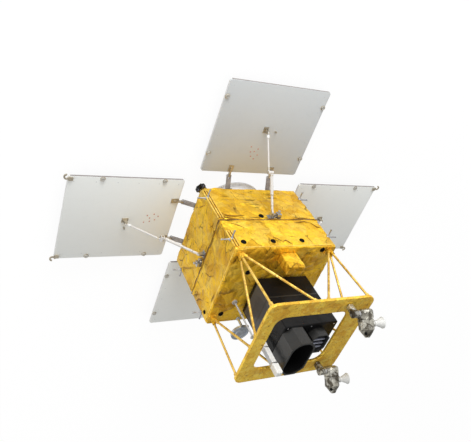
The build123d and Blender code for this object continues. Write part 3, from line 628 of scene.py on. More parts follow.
class Work:
    """A mesh in the making, in metres in the satellite's own frame."""

    def __init__(self) -> None:
        """Starts with nothing."""
        self.bm = bmesh.new()

    def bevel(self, edges: Iterable[Any], width: float, segments: int) -> "Work":
        """Softens some edges.

        Args:
            edges: the edges.
            width: bevel width.
            segments: bevel segments.

        Returns:
            This mesh.
        """
        bmesh.ops.bevel(
            self.bm, geom=list(edges), offset=width, segments=segments,
            affect="EDGES", profile=0.5, material=-1,
        )
        return self

    def box(self, low: Point, high: Point, edge: float = 0.0, segments: int = 2) -> "Work":
        """Adds a box with softened edges.

        Args:
            low: lowest corner.
            high: highest corner.
            edge: bevel width, or 0 for none.
            segments: bevel segments.

        Returns:
            This mesh.
        """
        size = [h - l for l, h in zip(low, high)]
        middle = Vector([(h + l) / 2.0 for l, h in zip(low, high)])
        fit = Matrix.Translation(middle) @ Matrix.Diagonal((*size, 1.0))
        made = bmesh.ops.create_cube(self.bm, size=1.0, matrix=fit)["verts"]
        if edge > 0.0:
            self.bevel(edges_of(made), edge, segments)
        return self

    def grid(self, step: float) -> "Work":
        """Divides the edges that run along X, Y and Z.

        Args:
            step: about how long each length becomes.

        Returns:
            This mesh.
        """
        for axis in range(3):
            runs: dict[int, list[Any]] = {}
            for edge in self.bm.edges:
                span = edge.verts[1].co - edge.verts[0].co
                if abs(span[axis]) > 0.999 * span.length:
                    runs.setdefault(round(span.length / step), []).append(edge)
            for cuts, edges in runs.items():
                if cuts > 1:
                    bmesh.ops.subdivide_edges(self.bm, edges=edges, cuts=cuts - 1, use_grid_fill=True)
        return self

    def rod(
        self,
        start: Vector,
        end: Vector,
        radius: float,
        sides: int,
        tip: Optional[float] = None,
        rings: int = 1,
    ) -> "Work":
        """Adds a rod or a cone between two points.

        Args:
            start: centre of the first end.
            end: centre of the other end.
            radius: radius at the start.
            sides: number of flat sides.
            tip: radius at the end, if it differs.
            rings: how many lengths the rod is divided into.

        Returns:
            This mesh.
        """
        run, half = end - start, (start + end) / 2.0
        turn = run.to_track_quat("Z", "Y").to_matrix().to_4x4()
        made = bmesh.ops.create_cone(
            self.bm, cap_ends=True, cap_tris=False, segments=sides, radius1=radius,
            radius2=radius if tip is None else tip, depth=run.length, matrix=Matrix.Translation(half) @ turn,
        )["verts"]
        if rings > 1:
            lengthwise = [
                e for e in edges_of(made)
                if (e.verts[0].co - half).dot(run) * (e.verts[1].co - half).dot(run) < 0.0
            ]
            bmesh.ops.subdivide_edges(self.bm, edges=lengthwise, cuts=rings - 1)
        return self

    def cord(self, points: Sequence[Vector], radii: Sequence[float]) -> "Work":
        """Adds a line of tapered rods through some points.

        Args:
            points: where the rods meet.
            radii: the radius at each point.

        Returns:
            This mesh.
        """
        for start, end, radius, tip in zip(points, points[1:], radii, radii[1:]):
            self.rod(start, end, radius, sides=8, tip=tip)
        return self

    def spin(self, outline: Outline, base: Vector, aim: Vector, steps: int) -> "Work":
        """Turns an outline of radius and height round an axis.

        Args:
            outline: radius and height of each corner, in metres.
            base: where height is 0.
            aim: direction of the axis.
            steps: how many steps make the full turn.

        Returns:
            This mesh.
        """
        axis = aim.normalized()
        side = axis.orthogonal().normalized()
        before = set(self.bm.verts)
        row = [self.bm.verts.new(base + side * radius + axis * height) for radius, height in outline]
        edges = [self.bm.edges.new(pair) for pair in zip(row, row[1:])]
        bmesh.ops.spin(
            self.bm, geom=row + edges, cent=base, axis=axis, angle=2.0 * math.pi, steps=steps, use_merge=True
        )
        made = [v for v in self.bm.verts if v not in before]
        bmesh.ops.remove_doubles(self.bm, verts=made, dist=1e-6)
        made = [v for v in self.bm.verts if v not in before]
        bmesh.ops.recalc_face_normals(self.bm, faces=list({f for v in made for f in v.link_faces}))
        return self

    def bridge(self, loops: Iterable[tuple[Point, Point]], count: int) -> "Work":
        """Joins two rounded rectangles with a strip of faces.

        Args:
            loops: half width, half depth and corner radius of each rectangle, and its centre.
            count: how many points each rectangle gets.

        Returns:
            This mesh.
        """
        edges: list[Any] = []
        for half, centre in loops:
            made = bmesh.ops.create_circle(self.bm, cap_ends=False, segments=count, radius=1.0)["verts"]
            for vert in made:
                x, y = corner_round(math.atan2(vert.co.y, vert.co.x), half)
                vert.co = Vector(centre) + Vector((x, y, 0.0))
            edges += edges_of(made)
        bmesh.ops.bridge_loops(self.bm, edges=edges)
        bmesh.ops.recalc_face_normals(self.bm, faces=self.bm.faces)
        return self

    def bolt(self, seat: Vector, aim: Vector, radius: float, tall: float) -> "Work":
        """Adds a hexagon bolt head on a washer.

        Args:
            seat: where the washer lies.
            aim: which way the head points.
            radius: the head's radius.
            tall: height of head and washer.

        Returns:
            This mesh.
        """
        way = aim.normalized()
        washer = seat + way * tall * 0.3
        self.rod(seat, washer, radius * 1.5, sides=14)
        return self.rod(washer, seat + way * tall, radius, sides=6, tip=radius * 0.92)

    def place(self, matrix: Matrix) -> "Work":
        """Moves the whole mesh."""
        bmesh.ops.transform(self.bm, matrix=matrix, verts=self.bm.verts)
        return self

    def crumple(
        self, crinkle: Crinkle, calm: Iterable[Spot] = (), sink: float = 0.0, seam: Optional[float] = None
    ) -> "Work":
        """Lifts each vertex along its normal by the height of crumpled foil.

        Args:
            crinkle: the foil's heights.
            calm: places and radii where the foil lies flat.
            sink: how far the foil is drawn in before it is lifted.
            seam: height of a seam that holds the foil down, if there is one.

        Returns:
            This mesh.
        """
        self.bm.normal_update()
        verts = list(self.bm.verts)
        points = np.array([v.co[:] for v in verts])
        lift = crinkle.heights(points) - sink
        if seam is not None:
            lift *= ease(np.abs(points[:, 2] - seam), *SEAM_HOLD)
        for spot, radius in calm:
            lift *= ease(np.linalg.norm(points - np.array(spot), axis=1), radius, radius + CALM_RIM)
        moves = [v.normal * float(h) for v, h in zip(verts, lift)]
        for vert, move in zip(verts, moves):
            vert.co += move
        return self

    def publish(
        self,
        name: str,
        body: str,
        finish: Finish,
        slot: str,
        replaces: Sequence[str] = (),
        sharp: float = 38.0,
    ) -> None:
        """Makes the object, dresses it and lets it ride on its body.

        Args:
            name: the piece's name.
            body: the body that carries it.
            finish: the finish that it gets.
            slot: the record's material slot; not used.
            replaces: solids that it stands for.
            sharp: edges sharper than this many degrees stay hard.
        """
        mesh = bpy.data.meshes.new(name)
        self.bm.to_mesh(mesh)
        self.bm.free()
        mesh.polygons.foreach_set("use_smooth", [True] * len(mesh.polygons))
        mesh.set_sharp_from_angle(angle=math.radians(sharp))
        mesh.materials.append(finish.material())
        piece = bpy.data.objects.new(name, mesh)
        bpy.context.collection.objects.link(piece)
        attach(piece, body)
        if replaces:
            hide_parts(*replaces)
        LOG.info("%s on %s, %d faces", name, body, len(mesh.polygons))


def dress(finish: Finish, *nodes: str) -> None:
    """Gives solids of the frame their finish.

    Args:
        finish: the finish.
        *nodes: the solids' names.
    """
    for node in nodes:
        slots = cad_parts[node].material_slots
        for each in slots:
            each.material = finish.material()
        if not slots:
            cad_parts[node].data.materials.append(finish.material())
        LOG.info("%s dressed as %s", node, finish.name)


class Side(Enum):
    """The four sides of the bus, each with its outward direction and its distance."""

    EAST = (1.0, 0.0, HALF_X)
    NORTH = (0.0, 1.0, HALF_Y)
    WEST = (-1.0, 0.0, HALF_X)
    SOUTH = (0.0, -1.0, HALF_Y)

    @property
    def label(self) -> str:
        """The side's name in the frame."""
        return self.name.lower()

    @property
    def across(self) -> bool:
        """Whether the side faces along X."""
        return self in (Side.EAST, Side.WEST)

    @property
    def panel(self) -> tuple[float, float]:
        """Reach and width of this side's panel."""
        return (PANEL_LONG, PANEL_WIDE) if self.across else (PANEL_WIDE, PANEL_LONG)

    @property
    def block(self) -> float:
        """Which way along the wall the release block sits from the strut's foot."""
        return -1.0 if self in (Side.EAST, Side.NORTH) else 1.0

    @property
    def matrix(self) -> Matrix:
        """Turns out, along and height on this side into the satellite's frame.

        Returns:
            A turn about Z and a shift to the wall.
        """
        east, north, wall = self.value
        return Matrix(
            (
                (east, -north, 0.0, east * wall),
                (north, east, 0.0, north * wall),
                (0.0, 0.0, 1.0, 0.0),
                (0.0, 0.0, 0.0, 1.0),
            )
        )

    @property
    def outward(self) -> Vector:
        """The direction away from the bus."""
        return self.turned(X_AXIS)

    def point(self, out: float, along: float, height: float) -> Vector:
        """A place on this side in the satellite's frame."""
        return self.matrix @ Vector((out, along, height))

    def turned(self, way: Vector) -> Vector:
        """A direction on this side in the satellite's frame."""
        return self.matrix.to_3x3() @ way


@dataclass
class Bus:
    """The foil-covered body with its seams, vents, posts and rings."""

    half_x: float = HALF_X
    half_y: float = HALF_Y
    base: float = 0.200
    seam: float = SEAM_Z
    top: float = 1.010
    step: float = 0.0115
    edge: float = 0.009
    crumple: float = 0.030
    sink: float = 0.006
    foot_z: float = 0.611
    hem_z: float = 0.999
    hem_r: float = 0.0055
    fold_out: float = 0.0045
    post_heights: tuple[float, float] = (0.339, 0.885)
    post_inset: float = 0.019
    ring_bolts: int = 24
    ring_bolt_r: float = 0.354
    deck_spots: tuple[Point, ...] = (
        (-0.300, -0.186, 0.03), (-0.19, -0.406, 0.03), (0.02, 0.325, 0.10), (0.068, -0.095, 0.24)
    )
    vents: tuple[tuple[Point, Vector, float], ...] = (
        ((-0.399, 0.430, 0.930), Y_AXIS, 0.016),
        ((-0.115, 0.430, 0.930), Y_AXIS, 0.016),
        ((0.178, 0.430, 0.930), Y_AXIS, 0.016),
        ((0.370, 0.388, 1.010), UP, 0.016),
        ((-0.386, -0.326, 1.010), UP, 0.016),
        ((-0.295, 0.162, 1.010), UP, 0.016),
        ((-0.068, 0.430, 0.596), Y_AXIS, 0.016),
        ((-0.500, -0.371, 0.934), -X_AXIS, 0.010),
    )
    long_folds: tuple[Outline, ...] = (
        ((0.457, 0.556), (0.399, 0.594), (0.330, 0.601), (0.236, 0.590)),
        ((0.467, 0.600), (0.424, 0.622), (0.368, 0.630)),
        ((0.414, 0.700), (0.362, 0.722), (0.311, 0.757)),
        ((-0.260, 0.611), (-0.328, 0.638), (-0.416, 0.628)),
        ((-0.222, 0.698), (-0.337, 0.678), (-0.401, 0.694)),
        ((-0.405, 0.694), (-0.435, 0.751), (-0.481, 0.774)),
        ((0.097, 0.879), (0.061, 0.903), (0.023, 0.955)),
        ((0.040, 0.950), (-0.013, 0.925), (-0.053, 0.975)),
    )
    short_folds: tuple[Outline, ...] = (
        ((-0.235, 0.230), (-0.292, 0.300), (-0.375, 0.375)),
        ((0.378, 0.248), (0.354, 0.292), (0.315, 0.326)),
        ((0.405, 0.335), (0.316, 0.435), (0.215, 0.540)),
        ((0.412, 0.690), (0.385, 0.712), (0.323, 0.762)),
        ((0.415, 0.760), (0.356, 0.790), (0.245, 0.945)),
        ((0.091, 0.734), (0.058, 0.814), (-0.002, 0.870)),
    )
    pin_outline: Outline = (
        (0.0, -0.004), (0.016, -0.004), (0.016, 0.005), (0.0125, 0.009), (0.0090, 0.014), (0.0060, 0.018),
        (0.0060, 0.073), (0.0080, 0.0755), (0.0080, 0.0805), (0.0060, 0.0835), (0.0, 0.084),
    )
    dome_outline: Outline = ((0.0, 0.009), (0.006, 0.0085), (0.011, 0.006), (0.0135, 0.002), (0.014, 0.0))

    def calm(self) -> list[Spot]:
        """Finds where brackets and feet hold the foil flat.

        Returns:
            The places and their radii.
        """
        spots: list[Spot] = []
        for side in Side:
            spots.append((tuple(side.point(0.0, -0.018, self.foot_z)), 0.042))
            spots.append((tuple(side.point(0.0, side.block * 0.095, self.foot_z)), 0.056))
            for along in HINGES:
                spots.append((tuple(side.point(-0.03, along, self.base)), 0.05))
        for east, north in CORNERS:
            spots.append(((east * 0.452, north * 0.382, self.top), 0.070))
            for height in self.post_heights:
                spots.append(((east * self.half_x, north * self.half_y, height), 0.062))
        spots += [((x, y, self.top), radius) for x, y, radius in self.deck_spots]
        spots += [(spot, radius) for spot, _, radius in self.vents]
        spots.append(((-self.half_x, self.half_y, self.base), 0.08))
        for height in np.linspace(0.26, 0.97, 12):
            spots.append(((-0.482, self.half_y, float(height)), 0.046))
        return spots

    def blankets(self) -> None:
        """Two crumpled foil boxes that meet in a seam."""
        calm = self.calm()
        for name, low, high, seed, deck in (
            ("rear", self.base, self.seam - 0.009, 5, "rear_deck"),
            ("front", self.seam + 0.004, self.top, 12, "payload_deck"),
        ):
            work = Work()
            work.box((-self.half_x, -self.half_y, low), (self.half_x, self.half_y, high), self.edge, 3)
            work.grid(self.step)
            work.crumple(Crinkle(seed, self.crumple), calm, self.sink, self.seam)
            walls = [f"{name}_wall_{side.label}" for side in Side]
            work.publish(f"blanket_{name}", "bus", GOLD, "gold_blanket", walls + [deck], sharp=40.0)
        dress(HINGE_METAL, "mid_deck")
        dress(PLAIN_METAL, "equipment_stack")

    def seam_band(self) -> None:
        """A crumpled strip of foil that laps over the seam between the two blankets."""
        wide, deep = self.half_x + 0.0015, self.half_y + 0.0015
        work = Work()
        work.box((-wide, -deep, self.seam + 0.004), (wide, deep, self.seam + 0.034), 0.004)
        work.grid(0.009).crumple(Crinkle(23, 0.010, 0.10, 0.025), sink=0.003)
        work.publish("blanket_seam_band", "bus", GOLD, "gold_blanket", sharp=35.0)

    def folds(self) -> None:
        """Painted shade: dark cords for the uneven line of the seam and the sharpest folds in the foil."""
        work = Work()
        steps = 44
        for turn, side in enumerate(Side):
            half = self.half_y if side.across else self.half_x
            points, radii = [], []
            for part in (step / steps for step in range(steps + 1)):
                sway = math.sin(17.0 * part + 2.1 * turn) + 0.7 * math.sin(41.0 * part + 1.3 * turn)
                height = self.seam + 0.003 + 0.0045 * sway
                points.append(side.point(self.fold_out, half * (2.0 * part - 1.0), height))
                radii.append(0.0034 + 0.0016 * math.sin(29.0 * part + 0.9 * turn))
            work.cord(points, radii)
            for fold in self.short_folds if side.across else self.long_folds:
                points = [side.point(self.fold_out, along, height) for along, height in fold]
                work.cord(points, [0.0012, *[0.0048] * (len(fold) - 2), 0.0012])
        work.publish("blanket_folds", "bus", HEM_SHADE, "gold_blanket")

    def bindings(self) -> None:
        """Rolled foil hems beside the north-west edge and along the payload deck, in lighter foil as painted
        highlight, with dark strips between the north-west hems as painted shade.
        """
        hems, gap_shades = Work(), Work()
        for low, high, inset in ((0.244, 0.628, 0.006), (0.795, 0.985, 0.005)):
            for x, y, radius in (
                (-0.5030, 0.4335, 0.0070), (-0.4790, 0.4340, 0.0070), (-0.4550, 0.4335, 0.0065)
            ):
                hems.rod(Vector((x, y, low)), Vector((x, y, high)), radius, sides=10, rings=30)
            # Dark strips between the hems: painted shade.
            for x in (-0.4910, -0.4670):
                ends = (Vector((x, 0.4310, z)) for z in (low + inset, high - inset))
                gap_shades.rod(*ends, 0.0045, sides=8, rings=24)
        for sign in SIGNS:
            x, y = sign * (self.half_x + 0.004), sign * (self.half_y + 0.004)
            ends = (Vector((end, y, self.hem_z)) for end in (-0.48, 0.48))
            hems.rod(*ends, self.hem_r, sides=10, rings=60)
            ends = (Vector((x, end, self.hem_z)) for end in (-0.41, 0.41))
            hems.rod(*ends, self.hem_r, sides=10, rings=56)
        hems.crumple(Crinkle(31, 0.0035, 0.12, 0.02), sink=0.001)
        hems.publish("blanket_hems", "bus", HEM_HIGHLIGHT_GOLD, "gold_blanket")
        gap_shades.crumple(Crinkle(37, 0.003, 0.10, 0.02), sink=0.001)
        gap_shades.publish("blanket_hem_gaps", "bus", HEM_SHADE, "gold_blanket")

    def vent_rims(self) -> None:
        """Round vents: a dark rim round a black well; the well is a black disc of painted shade for the
        vent's hollow.
        """
        rims, well_shades = Work(), Work()
        for spot, aim, r in self.vents:
            at = Vector(spot)
            rim = ((r, 0.0), (r, 0.006), (r + 0.002, 0.0075), (r + 0.005, 0.006), (r + 0.009, 0.0))
            rims.spin(rim, at, aim, 28)
            # The well: a black disc of painted shade for the vent's hollow.
            well_shades.spin(((0.0, 0.0035), (r * 0.6, 0.0030), (r + 0.0005, 0.0045)), at, aim, 28)
        rims.publish("vent_rims", "bus", VENT_BLACK, "sensor_black")
        well_shades.publish("vent_wells", "bus", VENT_BLACK, "sensor_black")

    def bolts(self) -> None:
        """Bolts of the launch ring, the hinge forks and the wall feet."""
        work = Work()
        for angle in (2.0 * math.pi * turn / self.ring_bolts for turn in range(self.ring_bolts)):
            x, y = self.ring_bolt_r * math.cos(angle), self.ring_bolt_r * math.sin(angle)
            work.bolt(Vector((x, y, 0.186)), -UP, 0.006, 0.007)
        for side in Side:
            run = side.turned(Y_AXIS)
            for along in HINGES:
                pin = side.point(0.088, along, 0.121)
                for sign in SIGNS:
                    work.bolt(pin + run * sign * 0.019, run * sign, 0.0075, 0.007)
                    work.bolt(side.point(-0.045, along + sign * 0.022, 0.192), -UP, 0.005, 0.005)
            for along in (-0.042, 0.006):
                for height in (-0.017, 0.017):
                    work.bolt(side.point(0.006, along, self.foot_z + height), side.outward, 0.004, 0.004)
        work.publish("bus_bolts", "bus", BRIGHT, "bright_metal")

    def fittings(self) -> None:
        """Hold-down pins, plugs on the release blocks and the sensors' domes."""
        pins, plugs, domes = Work(), Work(), Work()
        for side in Side:
            _, width = side.panel
            for height in self.post_heights:
                for sign in SIGNS:
                    root = side.point(0.0, sign * (width / 2.0 - self.post_inset), height)
                    pins.spin(self.pin_outline, root, side.outward, 24)
            for along, height, r, tall in (
                (0.052, 0.604, 0.011, 0.030),
                (0.064, 0.622, 0.008, 0.022),
                (0.072, 0.598, 0.009, 0.026),
                (0.124, 0.610, 0.008, 0.020),
            ):
                flange = ((r * 1.25, 0.0), (r * 1.25, 0.004), (r, 0.005))
                outline = (*flange, (r, tall - 0.003), (r - 0.002, tall), (0.0, tall))
                plugs.spin(outline, side.point(0.001, side.block * along, height), side.outward, 18)
        for x, y in ((-0.529, 0.416), (-0.492, 0.459)):
            domes.spin(self.dome_outline, Vector((x, y, 0.224)), UP, 28)
        pins.publish("post_pins", "bus", PLAIN_METAL, "bright_metal", ["hold_downs"])
        plugs.publish("wall_plugs", "bus", FITTING, "bright_metal")
        domes.publish("sun_sensor_domes", "bus", LENS, "sensor_black")

    def build(self) -> None:
        """Builds and dresses the whole bus."""
        self.blankets()
        self.seam_band()
        self.folds()
        self.bindings()
        self.vent_rims()
        dress(BRIGHT, "wall_feet")
        dress(HINGE_METAL, "hinge_forks")
        dress(RING_LIT_METAL, "launch_ring")
        dress(SENSOR_BLACK, "sun_sensors")
        self.bolts()
        self.fittings()


@dataclass
class SolarPanel:
    """One folding panel: grey skin above, dark cells below."""

    side: Side
    skin: Paint = PANEL_SKIN
    mark_shift: float = 0.0
    inner: float = 0.120
    top: float = 0.107
    thick: float = 0.020
    corner: float = 0.016
    border: float = 0.014
    gap: float = 0.005
    pitch: float = 0.096
    crop: float = 0.012
    cell_thick: float = 0.0015
    sheet_thick: float = 0.001
    tape: float = 0.0006
    strut_out: float = 0.578
    strut_along: float = 0.0095
    cup_inset: float = 0.019
    stud_inset: float = 0.05
    terminals: Outline = (
        (0.275, 0.020), (0.300, 0.060), (0.318, -0.004), (0.345, 0.078), (0.352, 0.040),
        (0.380, 0.010), (0.398, 0.088),
    )
    cup_ring: Outline = ((0.0175, 0.0), (0.0225, 0.0), (0.0225, 0.003), (0.0175, 0.0045))
    cup_outline: Outline = (
        (0.0172, 0.001), (0.0176, 0.0112), (0.0165, 0.0126), (0.0118, 0.0126), (0.0108, 0.0118),
        (0.0100, 0.0096), (0.0, 0.0094),
    )
    stud_outline: Outline = ((0.0, 0.0010), (0.003, 0.0010), (0.0042, 0.0))
    mark_outline: Outline = ((0.0, 0.003), (0.004, 0.003), (0.0062, 0.002), (0.0066, 0.0))

    @property
    def body(self) -> str:
        """The body that carries the panel."""
        return f"panel_{self.side.label}"

    @property
    def reach(self) -> float:
        """How far the panel reaches from the bus."""
        return self.side.panel[0]

    @property
    def width(self) -> float:
        """The panel's width along the wall."""
        return self.side.panel[1]

    def fix(self, work: Work, name: str, finish: Finish, slot: str, replaces: Sequence[str] = ()) -> None:
        """Turns a mesh to this side and lets it ride on the panel."""
        work.place(self.side.matrix)
        work.publish(f"{name}_{self.side.label}", self.body, finish, slot, replaces)

    def slab(self) -> None:
        """The stiff sandwich slab with cropped corners and taped edges; the strips on edges that face west
        are white, as painted highlight.
        """
        half, end = self.width / 2.0, self.inner + self.reach
        work = Work()
        work.box((self.inner, -half, self.top - self.thick), (end, half, self.top))
        upright = [e for e in work.bm.edges if abs(e.verts[0].co.z - e.verts[1].co.z) > 0.01]
        work.bevel(upright, self.corner, 1).bevel(work.bm.edges, 0.0012, 2)
        self.fix(work, "slab", self.skin, "panel_skin", [self.body])
        low, high = self.top - self.thick + 0.0015, self.top - 0.0015
        dark, pale = Work(), Work()
        for aim, near, far in (
            (-Y_AXIS, (self.inner + self.corner, -half - self.tape), (end - self.corner, -half)),
            (Y_AXIS, (self.inner + self.corner, half), (end - self.corner, half + self.tape)),
            (-X_AXIS, (self.inner - self.tape, -half + self.corner), (self.inner, half - self.corner)),
            (X_AXIS, (end, -half + self.corner), (end + self.tape, half - self.corner)),
        ):
            # Edges that face west get white strips as painted highlight, the others dark tape.
            lit = self.side.turned(aim).x < -0.5
            (pale if lit else dark).box((*near, low), (*far, high), 0.0002, 1)
        self.fix(dark, "edge_tape", EDGE_TAPE, "panel_skin")
        self.fix(pale, "edge_strip", EDGE_HIGHLIGHT, "panel_skin")

    def tile(self, long: float, wide: float) -> bpy.types.Mesh:
        """One cropped cell, facing down.

        Args:
            long: its length away from the bus.
            wide: its width along the wall.

        Returns:
            The cell's mesh.
        """
        tile = bmesh.new()
        bmesh.ops.create_grid(tile, x_segments=1, y_segments=1, size=0.5)
        bmesh.ops.scale(tile, vec=(long, wide, 1.0), verts=tile.verts)
        bmesh.ops.bevel(
            tile, geom=list(tile.verts), offset=self.crop, segments=1,
            affect="VERTICES", profile=0.5, material=-1,
        )
        made = bmesh.ops.extrude_face_region(tile, geom=list(tile.faces))
        lower = [g for g in made["geom"] if isinstance(g, bmesh.types.BMVert)]
        bmesh.ops.translate(tile, vec=(0.0, 0.0, -self.cell_thick), verts=lower)
        bmesh.ops.recalc_face_normals(tile, faces=tile.faces)
        shape = bpy.data.meshes.new("cell_shape")
        tile.to_mesh(shape)
        tile.free()
        return shape

    def cells(self) -> None:
        """Rows of cropped cells on an amber sheet, joined by thin strips."""
        long_run, wide_run = self.reach - 2.0 * self.border, self.width - 2.0 * self.border
        rows, columns = round(long_run / self.pitch), round(wide_run / self.pitch)
        row_pitch, column_pitch = long_run / rows, wide_run / columns
        face, start = self.top - self.thick, self.inner + self.border
        back = face - self.sheet_thick
        sheet, cells, strips = Work(), Work(), Work()
        sheet.box((start, -wide_run / 2.0, back), (start + long_run, wide_run / 2.0, face), 0.0003, 1)
        shape = self.tile(row_pitch - self.gap, column_pitch - self.gap)
        for column in range(columns):
            along = (column + 0.5) * column_pitch - wide_run / 2.0
            for row in range(rows):
                before = len(cells.bm.verts)
                cells.bm.from_mesh(shape)
                cells.bm.verts.ensure_lookup_table()
                spot = Vector((start + (row + 0.5) * row_pitch, along, back))
                bmesh.ops.translate(cells.bm, vec=spot, verts=cells.bm.verts[before:])
            for lane in (-0.26, 0.0, 0.26):
                middle = along + lane * column_pitch
                strips.box(
                    (start + 0.004, middle - 0.0009, face - 0.0029),
                    (start + long_run - 0.004, middle + 0.0009, face - 0.0022),
                )
        bpy.data.meshes.remove(shape)
        self.fix(sheet, "cell_sheet", SHEET_AMBER, "solar_cell")
        self.fix(cells, "cell_rows", CELL, "solar_cell", [f"cells_{self.side.label}"])
        self.fix(strips, "cell_strips", BRIGHT, "solar_cell")

    def hardware(self) -> None:
        """Bolts, inserts, cups and small terminals on the grey face."""
        dress(FITTING, f"panel_{self.side.label}_fittings")
        bolts, studs, marks, cups = Work(), Work(), Work(), Work()
        seats = [(out, along + s) for along in HINGES for out in (0.132, 0.188) for s in (-0.016, 0.016)]
        for out in (-0.022, 0.022):
            seats += [(self.strut_out + out, self.strut_along + step) for step in (-0.017, 0.017)]
        for out, along in seats:
            bolts.bolt(Vector((out, along, self.top + 0.006)), UP, 0.0042, 0.004)
        half = self.width / 2.0
        near, far = self.inner + self.stud_inset, self.inner + self.reach - self.stud_inset
        for sign in SIGNS:
            for out in (0.186, 0.732):
                at = Vector((self.inner + out, sign * (half - self.cup_inset), self.top))
                bolts.spin(self.cup_ring, at, UP, 28)
                cups.spin(self.cup_outline, at, UP, 28)
            for out in np.linspace(near, far, 6):
                at = Vector((out, sign * (half - self.stud_inset), self.top))
                studs.spin(self.stud_outline, at, UP, 12)
        for out, along in self.terminals:
            at = Vector((out, along + self.mark_shift, self.top))
            marks.spin(self.mark_outline, at, UP, 14)
        self.fix(bolts, "panel_bolts", FITTING, "fitting_metal")
        self.fix(studs, "panel_inserts", MAST_GREY, "panel_skin")
        self.fix(marks, "panel_terminals", MARK_RED, "fitting_metal")
        self.fix(cups, "panel_cups", CUP_GREY, "fitting_metal")

    def build(self) -> None:
        """Builds and dresses the panel."""
        self.slab()
        self.cells()
        self.hardware()


@dataclass
class FoldStrut:
    """The two links of one folding strut, with collars at their ends."""

    side: Side
    wall_pin: Point = (0.052, 0.0, 0.611)
    panel_pin: Point = (0.578, 0.0, 0.157)
    lower_along: float = -0.018
    upper_along: float = 0.0095
    cuff: Outline = (
        (0.0072, -0.012), (0.0118, -0.012), (0.0128, -0.010), (0.0128, 0.008), (0.0105, 0.012),
        (0.0072, 0.012),
    )

    @staticmethod
    def collar(bore: float, radius: float, half: float) -> Outline:
        """Outline of a collar with soft rims."""
        rim, soft = half - 0.002, radius - 0.001
        return (bore, -half), (soft, -half), (radius, -rim), (radius, rim), (soft, half), (bore, half)

    def build(self) -> None:
        """Dresses both links and adds their collars, pins and cuff."""
        label = self.side.label
        dress(STRUT_WHITE, f"strut_{label}_lower", f"strut_{label}_upper")
        top = Vector(self.wall_pin)
        run = Vector(self.panel_pin) - top
        lower, upper, cuff = Work(), Work(), Work()
        for share, radius in ((0.085, 0.0130), (0.222, 0.0158), (0.462, 0.0158)):
            at = top + run * share + Y_AXIS * self.lower_along
            lower.spin(self.collar(0.0105, radius, 0.005), at, run, 24)
        for share, radius in ((0.545, 0.0110), (0.56, 0.0095), (0.945, 0.0100)):
            at = top + run * share + Y_AXIS * self.upper_along
            upper.spin(self.collar(0.0072, radius, 0.004), at, run, 24)
        cuff.spin(self.cuff, top + run * 0.952 + Y_AXIS * self.upper_along, run, 28)
        elbow = top + run * 0.5
        upper.bolt(elbow + Y_AXIS * 0.017, Y_AXIS, 0.008, 0.006)
        lower.bolt(elbow - Y_AXIS * 0.032, -Y_AXIS, 0.008, 0.006)
        for work, part, name, finish in (
            (cuff, "upper", "cuff", WHITE),
            (lower, "lower", "collars", FITTING),
            (upper, "upper", "collars", FITTING),
        ):
            work.place(self.side.matrix)
            work.publish(f"strut_{label}_{part}_{name}", f"strut_{label}_{part}", finish, "strut_white")


@dataclass
class Truss:
    """Foil-wrapped tubes from the payload deck to the front frame."""

    node: Point = (0.452, 0.382, 0.992)
    reach: float = 0.078
    tube_r: float = 0.0100
    cap_reach: float = 0.040
    aims: Outline = ((0.462, 0.408), (0.048, 0.408), (0.462, 0.048))
    frame_low: float = 1.612
    frame_high: float = 1.638
    outer: Point = (0.4995, 0.4465, 0.070)
    inner: Point = (0.3415, 0.3005, 0.085)
    window_x: float = -0.043

    def tubes(self) -> None:
        """Twelve tubes in tightly wound foil."""
        work = Work()
        for east, north in CORNERS:
            foot = Vector((east * self.node[0], north * self.node[1], self.node[2]))
            for x, y in self.aims:
                head = Vector((east * x, north * y, self.frame_low))
                aim = (head - foot).normalized()
                start, end = foot + aim * self.reach, head - aim * self.cap_reach
                work.rod(start, end, self.tube_r, sides=14, rings=44)
        work.crumple(Crinkle(44, 0.0022, 0.09, 0.02), sink=0.0008)
        work.publish("truss_wraps", "bus", TUBE_GOLD, "gold_blanket", ["truss_tubes"])
        dress(GOLD, "truss_nodes")
        dress(TUBE_GOLD, "truss_caps")

    def front_frame(self) -> None:
        """The flat front frame in mottled foil."""
        work = Work()
        high = self.frame_high
        work.bridge(((self.outer, (0.0, 0.0, high)), (self.inner, (self.window_x, 0.0, high))), 260)
        across = [e for e in work.bm.edges if len(e.link_faces) == 2]
        bmesh.ops.subdivide_edges(work.bm, edges=across, cuts=9)
        bmesh.ops.recalc_face_normals(work.bm, faces=work.bm.faces)
        if sum(f.normal.z for f in work.bm.faces) < 0.0:
            bmesh.ops.reverse_faces(work.bm, faces=work.bm.faces)
        bmesh.ops.solidify(work.bm, geom=list(work.bm.faces), thickness=high - self.frame_low)
        bmesh.ops.recalc_face_normals(work.bm, faces=work.bm.faces)
        rims = [e for e in work.bm.edges if len(e.link_faces) == 2 and e.calc_face_angle() > 1.0]
        work.bevel(rims, 0.004, 3)
        work.crumple(Crinkle(63, 0.0034, 0.16, 0.02), sink=0.0012)
        work.publish("frame_wrap", "bus", FRAME_GOLD, "frame_blanket", ["front_frame"], sharp=50.0)

    def build(self) -> None:
        """Builds and dresses the truss."""
        self.tubes()
        self.front_frame()


